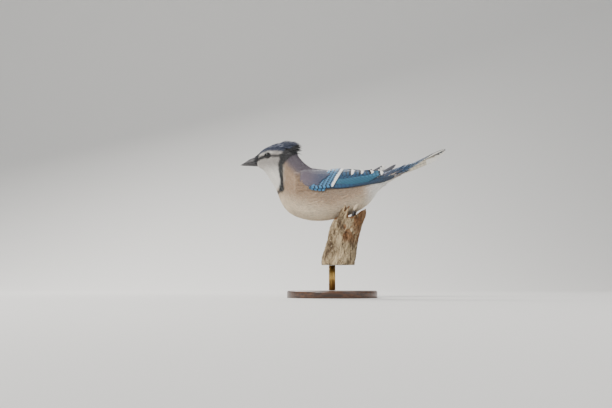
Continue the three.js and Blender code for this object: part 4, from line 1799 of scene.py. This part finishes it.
@dataclass
class Branch:
    """The broken branch end: bark outside, broken wood at its rim and in its hollow top, and a peeled patch
    down its right side that is partly painted shade.
    """

    rows: int = 190
    columns: int = 330
    bottom_x: float = 8.0
    bottom_z: float = 45.0
    rim_z: float = 111.0
    bottom_radius: float = 22.5
    rim_radius: float = 20.5
    splinters: tuple = ((15, -2.35, 0.17), (12.5, -1.98, 0.12), (9, -0.55, 0.5), (-4, 2.6, 0.9))

    def middle(self, z: Array) -> Array:
        """Returns the x of the branch's middle at a height."""
        f = (z - self.bottom_z) / (self.rim_z - self.bottom_z)
        return self.bottom_x + (FLOOR_X - self.bottom_x) * f * (0.4 + 0.6 * f)

    def girth(self, z: Array) -> Array:
        """Returns the branch's radius at a height."""
        f = (z - self.bottom_z) / (self.rim_z - self.bottom_z)
        return self.bottom_radius + (self.rim_radius - self.bottom_radius) * f

    def rim(self, turn: Array) -> Array:
        """Returns the height of the broken rim.

        Args:
            turn: Angles round the branch.

        Returns:
            A height for each angle.
        """
        height = self.rim_z + 1.2 * np.sin(5 * turn)
        for tall, at, wide in self.splinters:
            gap = (turn - at + math.pi) % (2 * math.pi) - math.pi
            height = height + tall * np.exp(-((gap / wide) ** 2))
        return height

    def wall(self, radius: Array, turn: Array, z: Array) -> Array:
        """Returns points of a wall round the branch's middle."""
        x, y = self.middle(z) + radius * np.cos(turn), BRANCH_Y + radius * np.sin(turn)
        return np.stack([x, y, z], axis=-1)

    def outside(self, turn: Array) -> tuple[Array, Array]:
        """Returns the points of the bark and how much bare wood each shows, at the broken rim and in the
        peeled patch on the right side, which is partly painted shade.

        Args:
            turn: Angles round the branch.

        Returns:
            Rings of points, and a number from 0 to 1 for each point.
        """
        rim = self.rim(turn)
        f = np.linspace(0, 1, self.rows)[:, None]
        z = self.bottom_z + (rim - self.bottom_z) * f
        radius = self.girth(z)
        spot = np.stack([radius * np.cos(turn), radius * np.sin(turn), z], axis=-1)
        cracks = np.abs(ripple(spot, 9, 9, 4.5))
        bark = 0.9 * ripple(spot, 16, 4, 2.6) - 1.5 * np.exp(-((cracks / 0.12) ** 2))
        bark += 0.3 * ripple(spot, 2.6, 2, 1.6)
        bark *= smooth(f, 0.0, 0.03) * (1 - 0.6 * smooth(f, 0.95, 1.0))
        z = z + 0.9 * ripple(spot[-1:], 3.0, 21, 1.0) * smooth(f, 0.9, 1.0)
        outer = self.wall(radius + bark, turn, z)
        edge = smooth(z - rim + 2.2 * ripple(outer, 6, 77), -3.4, -0.6)
        # Painted shade: the branch's right side, towards +X, gets dark wood, partly real peeled bark and
        # partly the shade that side falls in.
        bare = np.cos(turn + 0.35) + 0.5 * ripple(outer, 14, 55, 1.6)
        peeled_and_shade = smooth(bare, 0.35, 0.75) * smooth(z, 68, 84)
        return outer, np.maximum(edge, 0.8 * peeled_and_shade)

    def hollow(self, turn: Array, rim: Array) -> Array:
        """Returns the points of the torn inside, down to the middle of its floor.

        Args:
            turn: Angles round the branch.
            rim: Heights of its rim.

        Returns:
            Rings of points.
        """
        radius = self.girth(self.rim(turn))
        g = np.linspace(0, 1, 70)[:, None]
        floor = FLOOR_Z + FLOOR_SLOPE * (self.rim_radius * 0.7 * np.cos(turn))
        z = rim + (floor - rim) * smooth(g, 0.02, 1.0)
        inside = np.maximum(radius - (1.4 + 4.3 * smooth(g, 0.0, 0.7)), 3.0)
        spot = np.stack([inside * np.cos(turn), inside * np.sin(turn), z], axis=-1)
        fibre = 0.5 * ripple(spot, 4.0, 31, 9.0) * smooth(g, 0.0, 0.1)
        reach = inside[-1:] * np.linspace(1, 0.02, 26)[1:, None]
        bed = self.wall(reach, turn, np.full(reach.shape, FLOOR_Z))
        bed[..., 2] += FLOOR_SLOPE * (bed[..., 0] - FLOOR_X) + 0.18 * ripple(bed, 5, 8) - 0.15
        return np.concatenate([self.wall(inside + fibre, turn, z), bed])

    def build(self) -> bpy.types.Object:
        """Returns the branch end, which takes the place of its node.

        Returns:
            The object.
        """
        turn = (2 * math.pi * np.arange(self.columns) / self.columns)[None]
        # edge holds the broken rim and the right side's dark patch, which is partly painted shade.
        outer, edge = self.outside(turn)
        inner = self.hollow(turn, outer[-1:, :, 2])
        points, faces = closed_tube(np.concatenate([outer, inner]))
        # The torn values also carry the painted shade on the branch's right side.
        torn = np.concatenate([edge.ravel(), np.ones(inner.shape[0] * self.columns), [0.0, 1.0]])
        piece = Piece("branch_end")
        piece.add(points, faces, torn=torn)
        return piece.build(BarkFinish("branch_bark").make(), "bark", ["perch"])


def lathe(name: str, profile: Sequence[tuple[float, float]], sides: int, material: bpy.types.Material,
          slot: str) -> bpy.types.Object:
    """Makes a turned piece of the stand.

    Args:
        name: The node it takes the place of.
        profile: Its radius and height, from the bottom to the top.
        sides: Points round it.
        material: Its finish.
        slot: The record's material slot it stands for.

    Returns:
        The object.
    """
    turn = (2 * math.pi * np.arange(sides) / sides)[None]
    r = np.array([p[0] for p in profile])[:, None]
    z = np.array([p[1] for p in profile])[:, None] + 0 * turn
    points, faces = closed_tube(np.stack([r * np.cos(turn), r * np.sin(turn), z], axis=-1))
    piece = Piece(f"{name}_turned")
    piece.add(points, faces)
    return piece.build(material, slot, [name])


def rounded_edge(radius: float, height: float, edge: float, steps: int = 9) -> list[tuple[float, float]]:
    """Returns a disc's profile with a rounded upper edge.

    Args:
        radius: The disc's radius.
        height: The disc's height.
        edge: Radius of its rounded edge.
        steps: Steps round that edge.

    Returns:
        Radii and heights, from the bottom to the top.
    """
    turns = [math.pi / 2 * i / steps for i in range(steps + 1)]
    top = [(radius - edge + edge * math.cos(a), height - edge + edge * math.sin(a)) for a in turns]
    flat = [(radius * k - edge * k, height) for k in (0.98, 0.7, 0.4, 0.1)]
    return [(radius * 0.1, 0.0), (radius * 0.6, 0.0), (radius - 0.6, 0.0), (radius, 0.6), *top, *flat]


# The studio


class Studio:
    """The floor, the sweep behind it, the lights and the camera."""

    aim = Vector((-0.0359, 0.0, 0.1292))
    camera = Vector((-0.0359, -1.5966, 0.0246))
    lens = 68.2

    def floor(self) -> None:
        """Adds the floor with its sweep."""
        turns = np.linspace(0, math.pi / 2, 24)
        y = np.concatenate([[-12000, -1500, 0, 900], 900 + 1100 * np.sin(turns[1:]), [2000]])
        z = np.concatenate([[0, 0, 0, 0], 1100 * (1 - np.cos(turns[1:])), [4200]])
        x = np.array([-12000.0, -1200.0, 1200.0, 12000.0])
        across = np.broadcast_to(x, (len(y), 4))
        grid = np.stack([across, np.repeat(y[:, None], 4, 1), np.repeat(z[:, None], 4, 1)], axis=-1)
        mesh = bpy.data.meshes.new("studio_floor")
        mesh.from_pydata((grid.reshape(-1, 3) * MM).tolist(), [], grid_faces(len(y), 4).tolist())
        mesh.polygons.foreach_set("use_smooth", np.ones(len(mesh.polygons), dtype=bool))
        mesh.materials.append(StudioFinish("studio_paper").make())
        made = bpy.data.objects.new("studio_floor", mesh)
        bpy.context.scene.collection.objects.link(made)

    def light(self, name: str, place: tuple[float, float, float], size: float, power: float,
              colour: tuple[float, float, float]) -> None:
        """Adds a soft lamp that faces the bird.

        Args:
            name: Its name.
            place: Where it stands, in metres.
            size: Its width, in metres.
            power: Its power, in watts.
            colour: Its colour.
        """
        lamp = bpy.data.lights.new(name, "AREA")
        lamp.size = size
        lamp.energy = power
        lamp.color = colour
        made = bpy.data.objects.new(name, lamp)
        made.location = place
        made.rotation_euler = (self.aim - Vector(place)).to_track_quat("-Z", "Y").to_euler()
        bpy.context.scene.collection.objects.link(made)

    def build(self) -> None:
        """Adds everything."""
        self.floor()
        self.light("key_light", (-1.0, -1.2, 1.4), 0.8, 48, (1.0, 0.97, 0.93))
        self.light("fill_light", (1.3, -1.1, 0.7), 1.4, 10, (0.93, 0.96, 1.0))
        self.light("rim_light", (-0.5, 0.95, 1.2), 0.9, 34, (1.0, 0.98, 0.95))
        world = bpy.data.worlds.new("studio_air")
        world.use_nodes = True
        world.node_tree.nodes["Background"].inputs[0].default_value = (0.9, 0.94, 1.0, 1.0)
        world.node_tree.nodes["Background"].inputs[1].default_value = 0.42
        bpy.context.scene.world = world
        lens = bpy.data.cameras.new("photo_camera")
        lens.lens = self.lens
        lens.sensor_width = 36
        camera = bpy.data.objects.new("photo_camera", lens)
        camera.location = self.camera
        camera.rotation_euler = (self.aim - self.camera).to_track_quat("-Z", "Y").to_euler()
        bpy.context.scene.collection.objects.link(camera)
        bpy.context.scene.camera = camera


def clear_of_eye(points: Array) -> Array:
    """Returns which feather roots leave the eye bare.

    Args:
        points: Rows of x, y, z.

    Returns:
        True for each root that is kept.
    """
    x, z = points[:, 0] - EYE_X, points[:, 2] - EYE_Z
    gaps = [np.hypot(x + step, z) for step in (0.0, 1.6, 3.2)]
    return (gaps[0] > 4.2) & (gaps[1] > 3.9) & (gaps[2] > 3.9)


def outside_wing(points: Array) -> Array:
    """Returns which feather roots aren't hidden under the wings.

    Args:
        points: Rows of x, y, z.

    Returns:
        True for each root that is kept.
    """
    x, z = points[:, 0], points[:, 2]
    low = np.interp(x, [-30, -19.5, -4.5, 26.5, 62, 88], [158, 151, 148, 155, 165, 169])
    high = np.interp(x, [-39, -20, 20, 60, 88], [162, 170, 171, 168, 168])
    return (x < -30) | (x > 76) | (z < low) | (z > high)


def beside_wing(points: Array) -> Array:
    """Returns which feather roots lie just in front of the folded wing."""
    x, z = points[:, 0], points[:, 2]
    return (z > 150) & (z < 176) & (x < -35 + (163 - z) * 0.35) & (x > -53)


def above_wing(points: Array) -> Array:
    """Returns which feather roots lie along the upper edge of the folded wings."""
    return (points[:, 0] > -42) & (points[:, 0] < 16) & (np.abs(points[:, 1]) > 5) & (points[:, 2] > 168)


HEAD_PATCHES = ("coat_head", "crest_front", "crest_back")

# Name, first and last station, length, width, gap between rows, gap along a row, lift and seed
COAT = (
    CoatPatch("coat_head", 0.05, 5.3, 3.9, 0.95, 0.78, 0.8, 0.3, 11, keep=clear_of_eye),
    CoatPatch("coat_nape", 5.2, 7.4, 6.5, 1.2, 1.0, 1.0, 0.4, 12),
    CoatPatch("coat_breast", 7.2, 10.3, 8.5, 1.5, 1.2, 1.15, 0.5, 13, keep=outside_wing),
    CoatPatch("coat_belly", 10.1, 13.2, 9.5, 1.7, 1.3, 1.2, 0.55, 14, keep=outside_wing),
    CoatPatch("coat_rump", 13.1, 17.85, 9.5, 1.7, 1.3, 1.2, 0.5, 15, keep=outside_wing),
    CoatPatch("wing_fold_cover", 7.7, 10.2, 10.0, 1.5, 0.9, 0.9, 2.2, 20, keep=beside_wing),
    CoatPatch(
        "scapulars", 9.2, 13.2, 11.0, 2.0, 1.6, 1.2, 2.2, 21,
        low_turn=-1.1, high_turn=1.1, keep=above_wing,
    ),
    CoatPatch(
        "undertail_coverts", 15.4, 17.9, 19.0, 2.8, 2.0, 1.5, 0.8, 16,
        low_turn=1.95, high_turn=4.33,
    ),
    CoatPatch(
        "uppertail_coverts", 15.6, 17.9, 17.0, 3.0, 1.3, 1.0, 0.15, 17,
        low_turn=-1.35, high_turn=1.35,
    ),
    CoatPatch("crest_front", 2.2, 3.4, 14.0, 2.0, 1.2, 1.0, 0.9, 18, low_turn=-0.7, high_turn=0.7),
    CoatPatch(
        "crest_back", 3.3, 5.1, 17.5, 2.2, 1.1, 0.95, 0.9, 19,
        low_turn=-0.75, high_turn=0.75, straight=True,
    ),
)


def build_coat() -> None:
    """Adds every patch of small feathers."""
    for patch in COAT:
        slot = "head_feathers" if patch.name in HEAD_PATCHES else "body_feathers"
        patch.build(FeatherFinish(f"{patch.name}_barbs").make(), slot)


def build_bird() -> None:
    """Adds the whole bird."""
    Skin().build()
    build_coat()
    for side in Side:
        Wing(side).build()
        WingShoulder(side).build(FeatherFinish(f"shoulder_{side.name.lower()}_barbs").make())
        Eye(side).build_ball()
    lids = Piece("eyelids")
    for side in Side:
        Eye(side).add_lids(lids)
    lids.build(HornFinish("lid_skin", linear(26, 24, 26), linear(46, 42, 42)).make(), "horn")
    fringe = Piece("eye_fringe")
    for side in Side:
        Eye(side).add_fringe(fringe, np.random.default_rng(5))
    fringe.build(FeatherFinish("fringe_barbs").make(), "head_feathers")
    Tail().build()
    Bill().half(upper=True)
    Bill().half(upper=False)
    Bristles().build(FeatherFinish("bristle_barbs").make())
    for side in Side:
        Leg(side).build()
    Thighs().build(FeatherFinish("thigh_barbs").make())


def build_mount() -> None:
    """Adds the branch end and the stand."""
    Branch().build()
    lathe("stand_base", rounded_edge(62, 10, 2.5), 160, StandWoodFinish("base_wood").make(), "stand_wood")
    rod = [(1.0, 10.3), (3.0, 10.3), (4.5, 10.3), (4.5, 30.0), (4.5, 44.7), (3.0, 44.7), (1.0, 44.7)]
    lathe("stand_rod", rod, 72, BrassFinish("rod_brass").make(), "stand_metal")


def main() -> None:
    """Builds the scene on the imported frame."""
    logging.basicConfig(level=logging.INFO, format="%(message)s")
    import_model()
    build_bird()
    build_mount()
    Studio().build()


if __name__ == "__main__":
    main()
